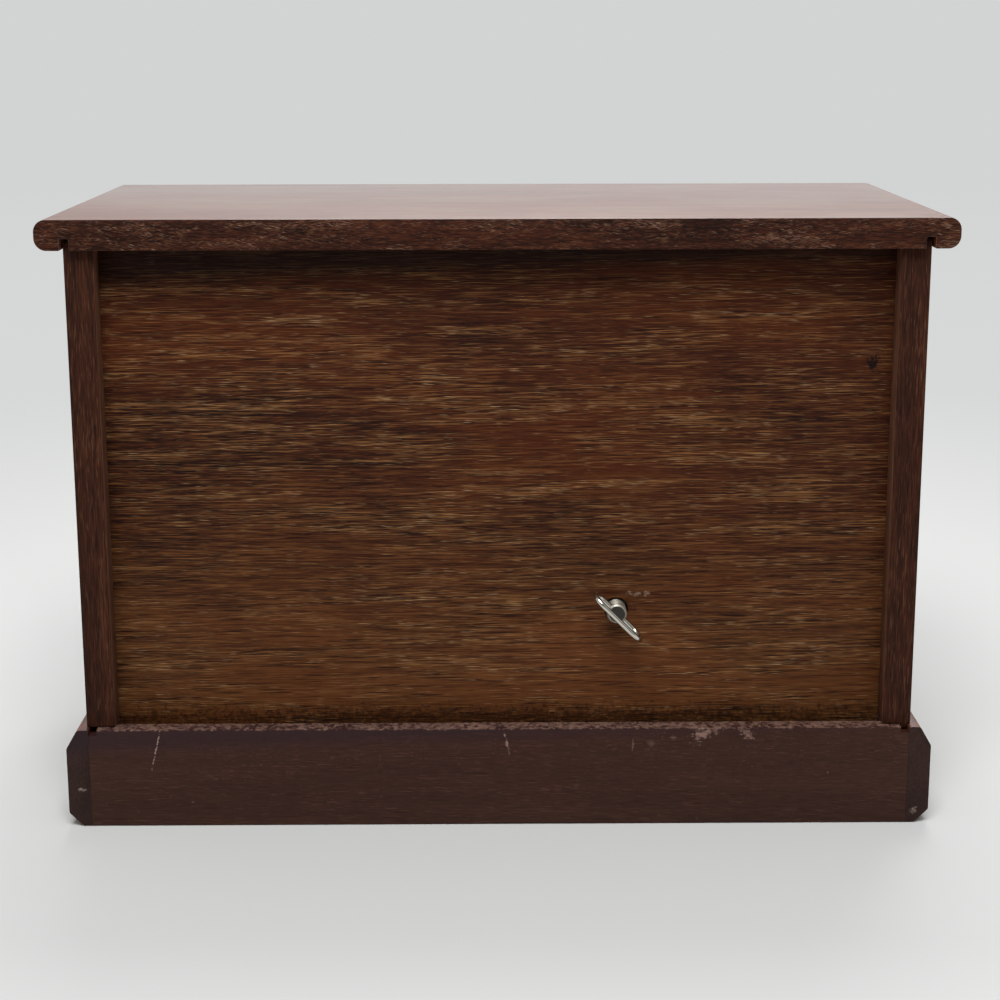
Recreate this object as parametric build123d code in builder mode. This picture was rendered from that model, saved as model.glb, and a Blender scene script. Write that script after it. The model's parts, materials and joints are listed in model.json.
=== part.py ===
from build123d import *
import math
import os

# Musical jewelry box: a fixed-top mahogany case with four drawers, and a wind-up
# musical movement behind the lowest drawer. All sizes are in millimetres.
# X runs across the front, -Y is the front, +Y is the back with the winding key, and
# the box stands on Z = 0 with the middle of its footprint at the origin.

half_circle = 180.0  # degrees

# Case
case_width = 300.0  # over the side panels' outer faces
panel_thickness = 10.3
top_depth = 164.0
top_thickness = 10.7
top_overhang = 9.2  # beyond the side panels and the drawer fronts
top_edge_radius = 4.3
base_height = 36.7
case_opening_height = 173.3  # from the bottom panel to the underside of the top
side_set_in = 3.5  # side panels' back edges, in front of the top's back edge
back_set_in = 12.7  # back panel's outer face, in front of the top's back edge
back_thickness = 3.2
back_groove_depth = 4.0
groove_clearance = 0.2
tongue_thickness = 2.6
top_groove_depth = 4.1
top_tongue_height = 2.7
top_groove_play = 0.6  # the groove is this much wider than the tongue, on the outer side
base_tongue_height = 1.6
base_groove_depth = 2.2
base_groove_offset = 4.0  # base groove's inner wall, inside the side panel's outer face
base_groove_width = 3.0
short_tongue_set_in = 9.0  # the right panel's lower tongue has broken away at the back

# Base
moulding_thickness = 8.2
moulding_lap = 1.0  # the side panel stands this far on the moulding's top flat
moulding_top_flat = 4.1
moulding_bevel_height = 7.1
moulding_foot_bevel = 5.0
moulding_nose_radius = 1.6
back_board_thickness = 7.0
bearer_width = 19.0
bottom_thickness = 6.0

# Inside of the case
shelf_thickness = 6.0
shelf_dado_depth = 3.0
lower_row_height = 60.3
middle_row_height = 50.5
stop_block_size = 9.0
stop_block_share = 0.6  # how far apart the two stand, of the case's width
stop_block_chamfer = 1.0

# Drawers
drawer_side_gap = 0.5
drawer_top_gap = 0.6
front_border_thickness = 7.7
front_field_rise = 1.3
front_field_border = 7.0
front_field_bevel = 40.0  # degrees from upright
box_top_gap = 5.0  # drawer box below the front's top edge
box_wall = 5.0
box_bottom_thickness = 3.0
box_bottom_lift = 2.5
box_bottom_groove = 2.0
box_side_gap = 0.6
lining_thickness = 1.2
lining_corner_radius = 3.0
lining_top_gap = 1.5
long_box_back_gap = 0.6
movement_room = 25.6  # from the bedplate's front face to the lowest drawer's back
drawer_left_in_case = 28.0  # how much of a drawer stays in when it is fully open

# Knobs
knob_radius = 6.0
knob_projection = 12.6
knob_neck_radius = 3.0
knob_flare_start = 3.4
knob_rim_start = 8.4
knob_screw_radius = 1.5
knob_screw_reach = 6.0
screw_head_radius = 3.0
screw_head_height = 1.6
screw_hole_play = 0.25
screw_sides = 8  # small screws and the holes they fill keep to a few flat faces
knob_share = 0.5  # how far apart a wide drawer's two knobs stand, of the case's width

# Ring rolls
ring_roll_radius = 8.0
ring_roll_end_radius = 5.0  # the rolls drop this roundly at both ends
ring_roll_gap = 0.4
ring_roll_end_gap = 1.0
ring_roll_wall_share = 0.45  # upright part of a roll's side, of its half width
ring_roll_rise_share = 1.4  # a roll's height, of its half width

# Winding key
key_x = -42.7
key_rise = 41.3  # above the bottom panel's top
key_hole_radius = 4.4
key_shank_radius = 3.6
key_shank_projection = 7.0
key_shank_chamfer = 0.5
key_cross_hole_set_in = 1.5
key_shank_in_block = 3.0
key_wire_radius = 1.0
key_wire_play = 0.05
key_wire_sides = 12
key_loop_length = 25.0
key_loop_pitch = 9.4  # between the middles of the loop's two limbs
key_loop_tilt = 45.0

# Movement: block and bedplate
block_thickness = 6.0
block_margin = 4.0
block_hole_play = 0.9
block_top_margin = 2.0
bed_thickness = 2.0
bed_left = -13.5
bed_right = 46.0
bed_low = -30.0
bed_high = 14.5
bed_corner_radius = 3.0
bed_screw_radius = 1.5
bed_screw_length = 5.0
bed_screw_inset = 4.0
running_play = 0.05
end_play = 0.4
pivot_reach = 0.3  # how far a pivot stands out of its hole

# Movement: spring, bridge and drive wheel
cup_radius = 10.6
cup_height = 10.0
cup_wall = 0.6
arbor_radius = 2.0
arbor_hub_radius = 2.8
arbor_pivot_radius = 1.5
spring_strip = 0.4
spring_pitch = 2.0
spring_width = 7.0
spring_clearance = 0.3  # from the innermost turn to the hub and from the outermost to the cup
drive_disc_gap = 0.3
drive_disc_thickness = 1.2
drive_disc_radius = 9.2
drive_teeth = 30
drive_pitch_radius = 8.0
drive_tooth_height = 1.2
drive_tooth_length = 1.4
drive_tooth_width = 0.85
drive_tooth_tip = 0.34
coarse_addendum = 0.45
coarse_dedendum = 0.7
coarse_tooth_root = 0.75
coarse_tooth_tip = 0.35
bridge_thickness = 1.0
bridge_gap = 0.4
bridge_leg_gap = 0.6
bridge_left = -3.0
bridge_right = 6.6
bridge_foot = 4.5
bridge_lug_height = 2.4
bridge_lug_half = 3.0
bridge_lug_corner = 2.0
bridge_top_inset = 0.5  # upper foot's end, below the bedplate's top edge

# Movement: cylinder and comb
cylinder_teeth = 12  # on the pinion that the drive wheel turns
notes = 18
note_pitch = 1.0
first_note = 11.9
drum_radius = 6.2
drum_margin = 0.7
pin_height = 0.7
pin_size = 0.42
pins_per_note = 3
pin_sink = 0.3  # how deep a pin stands in the drum
note_turn = 47.0  # degrees between the pins of neighbouring notes
tune_step = 13.0  # degrees by which the tune's notes are spread
tune_beats = 4
axle_radius = 0.8
wheel_teeth = 30
fine_module = 0.4
fine_addendum = 0.35
fine_dedendum = 0.55
fine_tooth_root = 0.62
fine_tooth_tip = 0.26
wheel_gap = 0.6
wheel_thickness = 1.4
comb_gap = 0.3
comb_tooth_thickness = 0.8
comb_slot = 0.3
comb_base_thickness = 2.0
comb_base_width = 8.5
comb_low = -29.5
comb_slot_slant = 4.0
comb_slot_start = 0.5
comb_step = 0.6  # the teeth's underside, above the foot's
comb_screw_inset = 4.0
small_screw_radius = 1.0
small_head_radius = 1.9
small_head_height = 1.1
screw_tip_gap = 0.5
small_screw_length = 4.0

# Movement: governor
pinion_teeth = 10
pinion_direction = 210.4  # from the cylinder to the governor wheel, seen from the right
worm_wheel_teeth = 20
worm_wheel_thickness = 1.2
worm_wheel_addendum = 0.3
worm_wheel_dedendum = 0.6
worm_tooth_root = 0.6
worm_tooth_tip = 0.26
worm_starts = 2
worm_tip_radius = 1.45
worm_root_radius = 0.65
worm_pitch_radius = 1.1
worm_length = 4.2
worm_sides = 8
worm_steps_per_turn = 16
frame_wall = 1.0
frame_gap = 0.9
frame_inner_width = 7.4
frame_front = 21.2
frame_high = 3.2
frame_foot_reach = 7.5
frame_post_half = 2.0
cheek_margin = 2.2
fan_radius = 4.2
fan_height = 4.2
fan_gap = 0.8
fan_hub_wall = 0.5
fan_thickness = 0.3
spindle_radius = 0.5
spindle_end_gap = 0.2
tooth_sink = 0.2  # how deep a gear tooth's root lies in its disc

# Movement: stop lever
lever_wire_radius = 0.4
lever_wire_sides = 8
lever_hub_radius = 1.8
lever_pin_radius = 0.9
lever_pin_length = 3.0
lever_hub_gap = 0.3
lever_hub_length = 2.4
lever_w = -20.0  # the lever's pin, up from the winding arbor
lever_h = 10.0  # the lever's pin, in front of the bedplate
lever_bend_radius = 1.2
lever_start_shift = 0.4
feeler_bend_rise = 7.5
feeler_bend_set_back = 4.0
feeler_tip_rise = 12.0
stop_wire_height = 2.2  # above the fan's lower edge
stop_bend_gap = 0.2
stop_tip_past = 2.5  # how far the stop wire ends beside the fan's spindle
lever_drawer_gap = 0.3

# Places that follow from the sizes above
key_z = base_height + key_rise
back_edge = top_depth / 2
front_edge = -top_depth / 2
case_front = front_edge + top_overhang
side_outer = case_width / 2
side_inner = side_outer - panel_thickness
side_back = back_edge - side_set_in
top_underside = base_height + case_opening_height
box_height = top_underside + top_thickness
panel_outer_y = back_edge - back_set_in
panel_inner_y = panel_outer_y - back_thickness
moulding_inner = side_outer - moulding_lap
moulding_outer = moulding_inner + moulding_thickness
moulding_front_inner = case_front + moulding_lap
back_board_front = back_edge - back_board_thickness
bearer_inner = moulding_inner - bearer_width
bottom_underside = base_height - bottom_thickness
shelf_lower_z = base_height + lower_row_height
shelf_upper_z = shelf_lower_z + shelf_thickness + middle_row_height
upper_row_z = shelf_upper_z + shelf_thickness
upper_row_height = top_underside - upper_row_z
field_y = case_front
board_y = field_y + front_field_rise
front_inner_y = board_y + front_border_thickness
block_front_y = panel_inner_y - block_thickness
bed_front_y = block_front_y - bed_thickness
shank_end_y = panel_outer_y + key_shank_projection
short_back_y = bed_front_y - movement_room

# The bedplate's front face: first direction to the right, second up, height towards
# the front. The winding arbor stands at its origin.
bed = Plane(origin=(key_x, bed_front_y, key_z), x_dir=(1, 0, 0), z_dir=(0, -1, 0))


def across(u, w, h):
    """A plane across a left-to-right axle: first direction up, second to the front."""
    origin = (key_x + u, bed_front_y - h, key_z + w)
    return Plane(origin=origin, x_dir=(0, 0, 1), z_dir=(1, 0, 0))


def upright(y):
    """A plane facing the front at a value of Y, with X across and Z up."""
    return Plane.XZ.offset(-y)


def rect(a0, a1, b0, b1, mode=Mode.ADD):
    """A rectangle in the open sketch between two values of each direction."""
    with Locations(((a0 + a1) / 2, (b0 + b1) / 2)):
        Rectangle(abs(a1 - a0), abs(b1 - b0), mode=mode)


def screw_outline(radius):
    """A screw's head or shank, or the hole it fills, in the open sketch."""
    RegularPolygon(radius, screw_sides)


def write_piece(piece, name):
    """Labels a finished piece and writes it to its own file."""
    piece.part.label = name
    export_step(piece.part, f"parts/{name}.step")


def gear_outline(teeth, root, tip, root_width, tip_width, first_tooth):
    """A toothed wheel's outline in the open sketch, one tooth at first_tooth degrees."""
    RegularPolygon(root, teeth, rotation=first_tooth)
    sunk = root - tooth_sink
    with PolarLocations(0, teeth, start_angle=first_tooth):
        Polygon(
            (sunk, -root_width / 2),
            (tip, -tip_width / 2),
            (tip, tip_width / 2),
            (sunk, root_width / 2),
        )


os.makedirs("parts", exist_ok=True)

# Top board: rounded on both ends and the front, square at the back, grooved below
top_half = side_outer + top_overhang
with BuildPart() as top_board:
    with BuildSketch(upright(back_edge)) as ends:
        rect(-top_half, top_half, top_underside, box_height)
        fillet(ends.vertices(), top_edge_radius)
    extrude(amount=top_depth)
    with BuildSketch(Plane.YZ) as nose:
        rect(front_edge, back_edge, top_underside, box_height)
        fillet(nose.vertices().group_by(Axis.X)[0], top_edge_radius)
    extrude(amount=top_half, both=True, mode=Mode.INTERSECT)
    with BuildSketch(Plane.XY.offset(top_underside)):
        for side in (-1, 1):
            outer = side * (side_outer + top_groove_play)
            rect(side * (side_outer - tongue_thickness), outer, case_front, back_edge)
    extrude(amount=top_groove_depth, mode=Mode.SUBTRACT)
    with BuildSketch(Plane.XY.offset(top_underside)):
        groove_half = side_inner + back_groove_depth
        rect(-groove_half, groove_half, panel_inner_y - groove_clearance, panel_outer_y)
    extrude(amount=top_tongue_height, mode=Mode.SUBTRACT)
write_piece(top_board, "top_board")

# Side panels: one outline with both tongues and both shelf dados, grooved for the back
base_groove_inner = side_outer - base_groove_offset
base_groove_outer = base_groove_inner + base_groove_width
for name, side in (("left", -1), ("right", 1)):
    with BuildPart() as side_panel:
        with BuildSketch(upright(side_back)):
            rect(side * side_inner, side * side_outer, base_height, top_underside)
        extrude(amount=side_back - case_front)
        with BuildSketch(upright(panel_inner_y)):
            for dado_z in (shelf_lower_z, shelf_upper_z):
                dado = side * (side_inner + shelf_dado_depth)
                rect(side * side_inner, dado, dado_z, dado_z + shelf_thickness)
        extrude(amount=panel_inner_y - case_front, mode=Mode.SUBTRACT)
        with BuildSketch(Plane.XY.offset(top_underside)):
            rect(side * (side_outer - tongue_thickness), side * side_outer, case_front, side_back)
        extrude(amount=top_tongue_height)
        with BuildSketch(Plane.XY.offset(base_height)):
            tongue_inner = base_groove_inner + groove_clearance
            tongue_back = side_back - (short_tongue_set_in if side > 0 else 0.0)
            tongue = (side * tongue_inner, side * (tongue_inner + tongue_thickness))
            rect(*tongue, moulding_front_inner, tongue_back)
        extrude(amount=-base_tongue_height)
        with BuildSketch(Plane.XY.offset(base_height)):
            groove = side * (side_inner + back_groove_depth)
            rect(side * side_inner, groove, panel_inner_y - groove_clearance, panel_outer_y)
        extrude(amount=case_opening_height, mode=Mode.SUBTRACT)
    write_piece(side_panel, f"side_panel_{name}")

# Back panel: thin plywood in the side grooves, down behind the base's back board
back_half = side_inner + back_groove_depth - groove_clearance
back_foot = bottom_underside - block_margin / 2
with BuildPart() as back_panel:
    with BuildSketch(upright(panel_outer_y)):
        rect(-back_half, back_half, back_foot, top_underside + top_tongue_height - groove_clearance)
        with Locations((key_x, key_z)):
            Circle(key_hole_radius, mode=Mode.SUBTRACT)
    extrude(amount=back_thickness)
write_piece(back_panel, "back_panel")

# Bottom panel, between the side panels
with BuildPart() as bottom_panel:
    with BuildSketch(Plane.XY.offset(bottom_underside)):
        rect(-side_inner, side_inner, moulding_front_inner, panel_inner_y)
    extrude(amount=bottom_thickness)
write_piece(bottom_panel, "bottom_panel")

# Two shelves in the side panels' dados, and the partition of the upper row
for name, shelf_z in (("lower", shelf_lower_z), ("upper", shelf_upper_z)):
    with BuildPart() as shelf:
        with BuildSketch(Plane.XY.offset(shelf_z)):
            shelf_half = side_inner + shelf_dado_depth
            rect(-shelf_half, shelf_half, case_front, panel_inner_y)
        extrude(amount=shelf_thickness)
    write_piece(shelf, f"shelf_{name}")

with BuildPart() as partition:
    with BuildSketch(upright(panel_inner_y)):
        rect(-shelf_thickness / 2, shelf_thickness / 2, upper_row_z, top_underside)
    extrude(amount=panel_inner_y - case_front)
write_piece(partition, "partition_upper")


def moulding_outline():
    """The base moulding's end in the open sketch, inner face at 0, growing outwards."""
    foot = moulding_thickness - moulding_foot_bevel
    bevel_z = base_height - moulding_bevel_height
    with BuildLine() as outline:
        Polyline(
            (0, 0),
            (foot, 0),
            (moulding_thickness, moulding_foot_bevel),
            (moulding_thickness, bevel_z),
            (moulding_top_flat, base_height),
            (0, base_height),
            close=True,
        )
    make_face(outline.edges())


# Base mouldings: one section, mitred where the front meets the sides
for name, side in (("left", -1), ("right", 1)):
    section = Plane(
        origin=(side * moulding_inner, back_edge, 0), x_dir=(side, 0, 0), z_dir=(0, -side, 0)
    )
    with BuildPart() as plinth_side:
        with BuildSketch(section) as profile:
            moulding_outline()
            round_ones = profile.vertices().filter_by(lambda v: v.X > moulding_top_flat / 2)
            fillet(round_ones, moulding_nose_radius)
        extrude(amount=side * (back_edge - moulding_front_inner + moulding_thickness))
        mitre = Plane(
            origin=(side * moulding_inner, moulding_front_inner, 0),
            z_dir=(side, 1, 0),
        )
        split(bisect_by=mitre, keep=Keep.TOP)
    write_piece(plinth_side, f"plinth_{name}")

with BuildPart() as plinth_front:
    front_section = Plane(
        origin=(-moulding_outer, moulding_front_inner, 0), x_dir=(0, -1, 0), z_dir=(-1, 0, 0)
    )
    with BuildSketch(front_section) as profile:
        moulding_outline()
        round_ones = profile.vertices().filter_by(lambda v: v.X > moulding_top_flat / 2)
        fillet(round_ones, moulding_nose_radius)
    extrude(amount=-2 * moulding_outer)
    for side in (-1, 1):
        mitre = Plane(
            origin=(side * moulding_inner, moulding_front_inner, 0),
            z_dir=(-side, -1, 0),
        )
        split(bisect_by=mitre, keep=Keep.TOP)
write_piece(plinth_front, "plinth_front")

# Base back board, notched where the side panels' grooves run out
with BuildPart() as plinth_back:
    with BuildSketch(upright(back_edge)):
        rect(-moulding_inner, moulding_inner, 0, base_height)
        for side in (-1, 1):
            notch = (side * base_groove_inner, side * base_groove_outer)
            rect(*notch, base_height - base_groove_depth, base_height, Mode.SUBTRACT)
    extrude(amount=back_board_thickness)
write_piece(plinth_back, "plinth_back")

# Bearers: rebated for the bottom panel, grooved for the side panels and the back panel
for name, side in (("left", -1), ("right", 1)):
    with BuildPart() as bearer:
        with BuildSketch(upright(back_board_front)):
            rect(side * bearer_inner, side * moulding_inner, 0, base_height)
            rect(side * bearer_inner, side * side_inner, bottom_underside, base_height, Mode.SUBTRACT)
            notch = (side * base_groove_inner, side * base_groove_outer)
            rect(*notch, base_height - base_groove_depth, base_height, Mode.SUBTRACT)
        extrude(amount=back_board_front - moulding_front_inner)
        with BuildSketch(Plane.XY.offset(back_foot)):
            groove = side * (side_inner + back_groove_depth)
            rect(side * bearer_inner, groove, panel_inner_y - groove_clearance, panel_outer_y)
        extrude(amount=base_height - back_foot, mode=Mode.SUBTRACT)
    write_piece(bearer, f"bearer_{name}")

for name, bearer_y in (("front", moulding_front_inner), ("back", panel_inner_y - bearer_width)):
    with BuildPart() as bearer:
        with BuildSketch(Plane.XY):
            rect(-bearer_inner, bearer_inner, bearer_y, bearer_y + bearer_width)
        extrude(amount=bottom_underside)
    write_piece(bearer, f"bearer_{name}")

# Two blocks on the bottom panel that the short lowest drawer closes against
with BuildPart() as drawer_stops:
    with BuildSketch(Plane.XY.offset(base_height)):
        with Locations((0, short_back_y + stop_block_size / 2)):
            with GridLocations(stop_block_share * case_width, 0, 2, 1):
                Rectangle(2 * stop_block_size, stop_block_size)
    extrude(amount=stop_block_size)
    chamfer(drawer_stops.faces().filter_by(Axis.Z).sort_by(Axis.Z)[-2:].edges(), stop_block_chamfer)
write_piece(drawer_stops, "drawer_stops")


def knob_piece(knob_places):
    """Turned brass knobs, each bored for its screw, at the places given."""
    outline = (
        (0, 0),
        (knob_neck_radius, 0),
        (knob_neck_radius, -knob_flare_start),
        (knob_radius, -knob_rim_start),
        (knob_radius, -knob_projection),
        (0, -knob_projection),
    )
    with BuildPart() as knobs:
        for x, z in knob_places:
            turning = Plane(origin=(x, field_y, z), x_dir=(1, 0, 0), z_dir=(0, 0, 1))
            with BuildSketch(turning):
                with BuildLine():
                    Polyline(*outline, close=True)
                make_face()
            revolve(axis=Axis((x, field_y, z), (0, 1, 0)))
        with BuildSketch(upright(field_y)):
            with Locations(*knob_places):
                screw_outline(knob_screw_radius)
        extrude(amount=knob_screw_reach, mode=Mode.SUBTRACT)
    return knobs


def knob_screw_piece(knob_places):
    """Knob screws: the head lies in a recess in the back of the drawer front."""
    head_base = front_inner_y - screw_head_height
    with BuildPart() as screws:
        with BuildSketch(upright(front_inner_y)):
            with Locations(*knob_places):
                screw_outline(screw_head_radius)
        extrude(amount=screw_head_height)
        with BuildSketch(upright(head_base)):
            with Locations(*knob_places):
                screw_outline(knob_screw_radius)
        extrude(amount=head_base - field_y + knob_screw_reach)
    return screws


def drawer_pieces(name, left, right, floor, row_height, back_y, knob_xs):
    """One drawer: front, box of sides, back and bottom, lining, knobs and screws."""
    front_left = left + drawer_side_gap
    front_right = right - drawer_side_gap
    front_top = floor + row_height - drawer_top_gap
    border = front_field_border
    knob_places = [(x, floor + row_height / 2) for x in knob_xs]
    with BuildPart() as front:
        with BuildSketch(upright(front_inner_y)):
            rect(front_left, front_right, floor + drawer_side_gap / 2, front_top)
        extrude(amount=front_border_thickness)
        with BuildSketch(upright(board_y)):
            low = floor + drawer_side_gap / 2 + border
            rect(front_left + border, front_right - border, low, front_top - border)
        extrude(amount=front_field_rise, taper=front_field_bevel)
        with BuildSketch(upright(front_inner_y)):
            with Locations(*knob_places):
                screw_outline(screw_head_radius + screw_hole_play)
        extrude(amount=screw_head_height, mode=Mode.SUBTRACT)
        with BuildSketch(upright(front_inner_y)):
            with Locations(*knob_places):
                screw_outline(knob_screw_radius)
        extrude(amount=front_inner_y - field_y, mode=Mode.SUBTRACT)
    write_piece(front, f"{name}_front")

    box_left = left + box_side_gap
    box_right = right - box_side_gap
    box_top = front_top - box_top_gap
    inner_left = box_left + box_wall
    inner_right = box_right - box_wall
    inner_back = back_y - box_wall
    bottom_z = floor + box_bottom_lift
    bottom_top = bottom_z + box_bottom_thickness
    with BuildPart() as box:
        with BuildSketch(Plane.XY.offset(floor)):
            rect(box_left, inner_left, front_inner_y, back_y)
        extrude(amount=box_top - floor)
        with BuildSketch(Plane.XY.offset(floor)):
            rect(inner_right, box_right, front_inner_y, back_y)
        extrude(amount=box_top - floor)
        with BuildSketch(Plane.XY.offset(bottom_z)):
            reach = box_bottom_groove
            rect(inner_left - reach, inner_right + reach, front_inner_y, back_y)
        extrude(amount=box_bottom_thickness, mode=Mode.SUBTRACT)
    walls = box.part
    with BuildPart() as bottom:
        with BuildSketch(Plane.XY.offset(bottom_z)):
            reach = box_bottom_groove
            rect(inner_left - reach, inner_right + reach, front_inner_y, back_y)
        extrude(amount=box_bottom_thickness)
    with BuildPart() as back:
        with BuildSketch(Plane.XY.offset(bottom_top)):
            rect(inner_left, inner_right, inner_back, back_y)
        extrude(amount=box_top - bottom_top)
    pieces = [*walls.solids(), *bottom.part.solids(), *back.part.solids()]
    tray = Compound(children=pieces, label=f"{name}_box")
    export_step(tray, f"parts/{name}_box.step")

    with BuildPart() as lining:
        lining_top = box_top - lining_top_gap
        with BuildSketch(Plane.XY.offset(bottom_top)):
            rect(inner_left, inner_right, front_inner_y, inner_back)
        extrude(amount=lining_top - bottom_top)
        with BuildSketch(Plane.XY.offset(bottom_top + lining_thickness)) as hollow:
            skin = lining_thickness
            rect(inner_left + skin, inner_right - skin, front_inner_y + skin, inner_back - skin)
            fillet(hollow.vertices(), lining_corner_radius)
        extrude(amount=lining_top - bottom_top, mode=Mode.SUBTRACT)
    write_piece(lining, f"{name}_lining")

    write_piece(knob_piece(knob_places), f"{name}_knobs")
    write_piece(knob_screw_piece(knob_places), f"{name}_knob_screws")
    inside = (inner_left + skin, inner_right - skin, front_inner_y + skin, inner_back - skin)
    return inside, bottom_top + lining_thickness


long_back_y = panel_inner_y - long_box_back_gap
half_row = (side_inner + shelf_thickness / 2) / 2
wide_knobs = (-knob_share * case_width / 2, knob_share * case_width / 2)
middle_row_z = shelf_lower_z + shelf_thickness
drawer_pieces(
    "drawer_lower", -side_inner, side_inner, base_height, lower_row_height, short_back_y, wide_knobs
)
drawer_pieces(
    "drawer_middle", -side_inner, side_inner, middle_row_z, middle_row_height, long_back_y, wide_knobs
)
drawer_pieces(
    "drawer_upper_right", shelf_thickness / 2, side_inner, upper_row_z, upper_row_height,
    long_back_y, (half_row,),
)
ring_tray, ring_tray_floor = drawer_pieces(
    "drawer_upper_left", -side_inner, -shelf_thickness / 2, upper_row_z, upper_row_height,
    long_back_y, (-half_row,),
)
for row, back_y in (("lower", short_back_y), ("other", long_back_y)):
    print(f"{row} drawer travel", round(back_y - case_front - drawer_left_in_case, 1))

# Ring rolls: padded bars side by side in the upper left drawer, domed and rounded at both ends
roll_left, roll_right, roll_front, roll_back = ring_tray
roll_step = 2 * ring_roll_radius + ring_roll_gap
roll_count = int((roll_back - roll_front - ring_roll_end_gap) / roll_step)
roll_wall = ring_roll_radius * ring_roll_wall_share
roll_rise = ring_roll_radius * ring_roll_rise_share
roll_start = roll_left + ring_roll_end_gap
roll_end = roll_right - ring_roll_end_gap
with BuildPart() as ring_rolls:
    with BuildSketch(Plane.YZ.offset(roll_start)):
        for n in range(roll_count):
            middle = roll_back - ring_roll_end_gap - ring_roll_radius - n * roll_step
            near, far = middle - ring_roll_radius, middle + ring_roll_radius
            wall_top = ring_tray_floor + roll_wall
            with BuildLine():
                Polyline((near, wall_top), (near, ring_tray_floor), (far, ring_tray_floor), (far, wall_top))
                ThreePointArc((far, wall_top), (middle, ring_tray_floor + roll_rise), (near, wall_top))
            make_face()
    extrude(amount=roll_end - roll_start)
    with BuildSketch(upright(roll_back)) as long_side:
        rect(roll_start, roll_end, ring_tray_floor, ring_tray_floor + roll_rise)
        fillet(long_side.vertices().group_by(Axis.Z)[-1], ring_roll_end_radius)
    extrude(amount=roll_back - roll_front, mode=Mode.INTERSECT)
write_piece(ring_rolls, "ring_rolls")

# Block that carries the movement, glued to the back panel's inner face
with BuildPart() as movement_block:
    with BuildSketch(bed.offset(-bed_thickness - block_thickness)):
        block_ends = (bed_left - block_margin, bed_right + block_margin)
        rect(*block_ends, bed_low - block_margin, bed_high + block_top_margin)
        Circle(key_shank_radius + block_hole_play, mode=Mode.SUBTRACT)
    extrude(amount=block_thickness)
    bed_screw_places = [
        (bed_left + bed_screw_inset, bed_low + bed_screw_inset),
        (bed_right - bed_screw_inset, bed_low + bed_screw_inset),
        (bed_right - bed_screw_inset, bed_high - bed_screw_inset),
    ]
    with BuildSketch(bed.offset(-bed_thickness)):
        with Locations(*bed_screw_places):
            screw_outline(bed_screw_radius)
    extrude(amount=-bed_screw_length, mode=Mode.SUBTRACT)
write_piece(movement_block, "movement_block")

# Heights above the bedplate's front face
wheel_top = cup_height + drive_disc_gap + drive_disc_thickness
tooth_top = wheel_top + drive_tooth_height
pinion_radius = drive_pitch_radius * cylinder_teeth / drive_teeth
axis_h = wheel_top + drive_tooth_height / 2 + pinion_radius
bridge_under = tooth_top + bridge_gap
bridge_top = bridge_under + bridge_thickness
bridge_reach = cup_radius + bridge_leg_gap

# Cylinder places along its axle
drum_start = first_note - drum_margin
drum_end = first_note + (notes - 1) * note_pitch + drum_margin
wheel_start = drum_end + wheel_gap
wheel_end = wheel_start + wheel_thickness
wheel_radius = fine_module * wheel_teeth / 2

# Comb places
comb_tip = -(drum_radius + pin_height + comb_gap)
comb_base_top = comb_low + comb_base_width
comb_left = first_note - note_pitch / 2
comb_right = comb_left + notes * note_pitch
comb_seat_h = axis_h - comb_tooth_thickness / 2 - comb_step
comb_screw_w = comb_low + comb_screw_inset
comb_screw_places = [
    (comb_left + comb_screw_inset, comb_screw_w),
    (comb_right - comb_screw_inset, comb_screw_w),
]

# Governor places
governor_radius = fine_module * pinion_teeth / 2
gear_distance = wheel_radius + governor_radius
governor_w = gear_distance * math.cos(math.radians(pinion_direction))
governor_h = axis_h + gear_distance * math.sin(math.radians(pinion_direction))
frame_left = wheel_end + frame_gap
frame_right = frame_left + 2 * frame_wall + frame_inner_width
worm_u = (frame_left + frame_right) / 2
worm_wheel_radius = fine_module * worm_wheel_teeth / 2
worm_w = governor_w - worm_wheel_radius - worm_pitch_radius
worm_lead = worm_starts * math.pi * fine_module
bridge_screw_place = (
    (bridge_left + bridge_right) / 2,
    -bridge_reach - bridge_thickness - bridge_foot / 2,
)
fan_base = governor_h + worm_wheel_radius + fan_gap
lever_u = frame_right + lever_hub_gap + lever_hub_length / 2

# Bedplate: a zinc casting with the comb's seat
with BuildPart() as bedplate:
    with BuildSketch(bed) as outline:
        rect(bed_left, bed_right, bed_low, bed_high)
        fillet(outline.vertices(), bed_corner_radius)
    extrude(amount=-bed_thickness)
    with BuildSketch(bed):
        rect(comb_left, comb_right, comb_low, comb_base_top)
    extrude(amount=comb_seat_h)
    with BuildSketch(bed):
        Circle(arbor_radius + running_play)
        with Locations(*bed_screw_places):
            screw_outline(bed_screw_radius)
    extrude(amount=-bed_thickness, mode=Mode.SUBTRACT)
    with BuildSketch(bed.offset(comb_seat_h)):
        with Locations(*comb_screw_places):
            screw_outline(small_screw_radius)
    extrude(amount=-small_screw_length, mode=Mode.SUBTRACT)
    with BuildSketch(bed):
        with Locations(bridge_screw_place):
            screw_outline(small_screw_radius)
    extrude(amount=-bed_thickness, mode=Mode.SUBTRACT)
write_piece(bedplate, "bedplate")

# Screws through the bedplate into the block
with BuildPart() as bedplate_screws:
    with BuildSketch(bed.offset(-bed_thickness - bed_screw_length)):
        with Locations(*bed_screw_places):
            screw_outline(bed_screw_radius)
    extrude(amount=bed_thickness + bed_screw_length)
    with BuildSketch(bed):
        with Locations(*bed_screw_places):
            screw_outline(screw_head_radius)
    extrude(amount=screw_head_height)
write_piece(bedplate_screws, "bedplate_screws")

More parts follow.
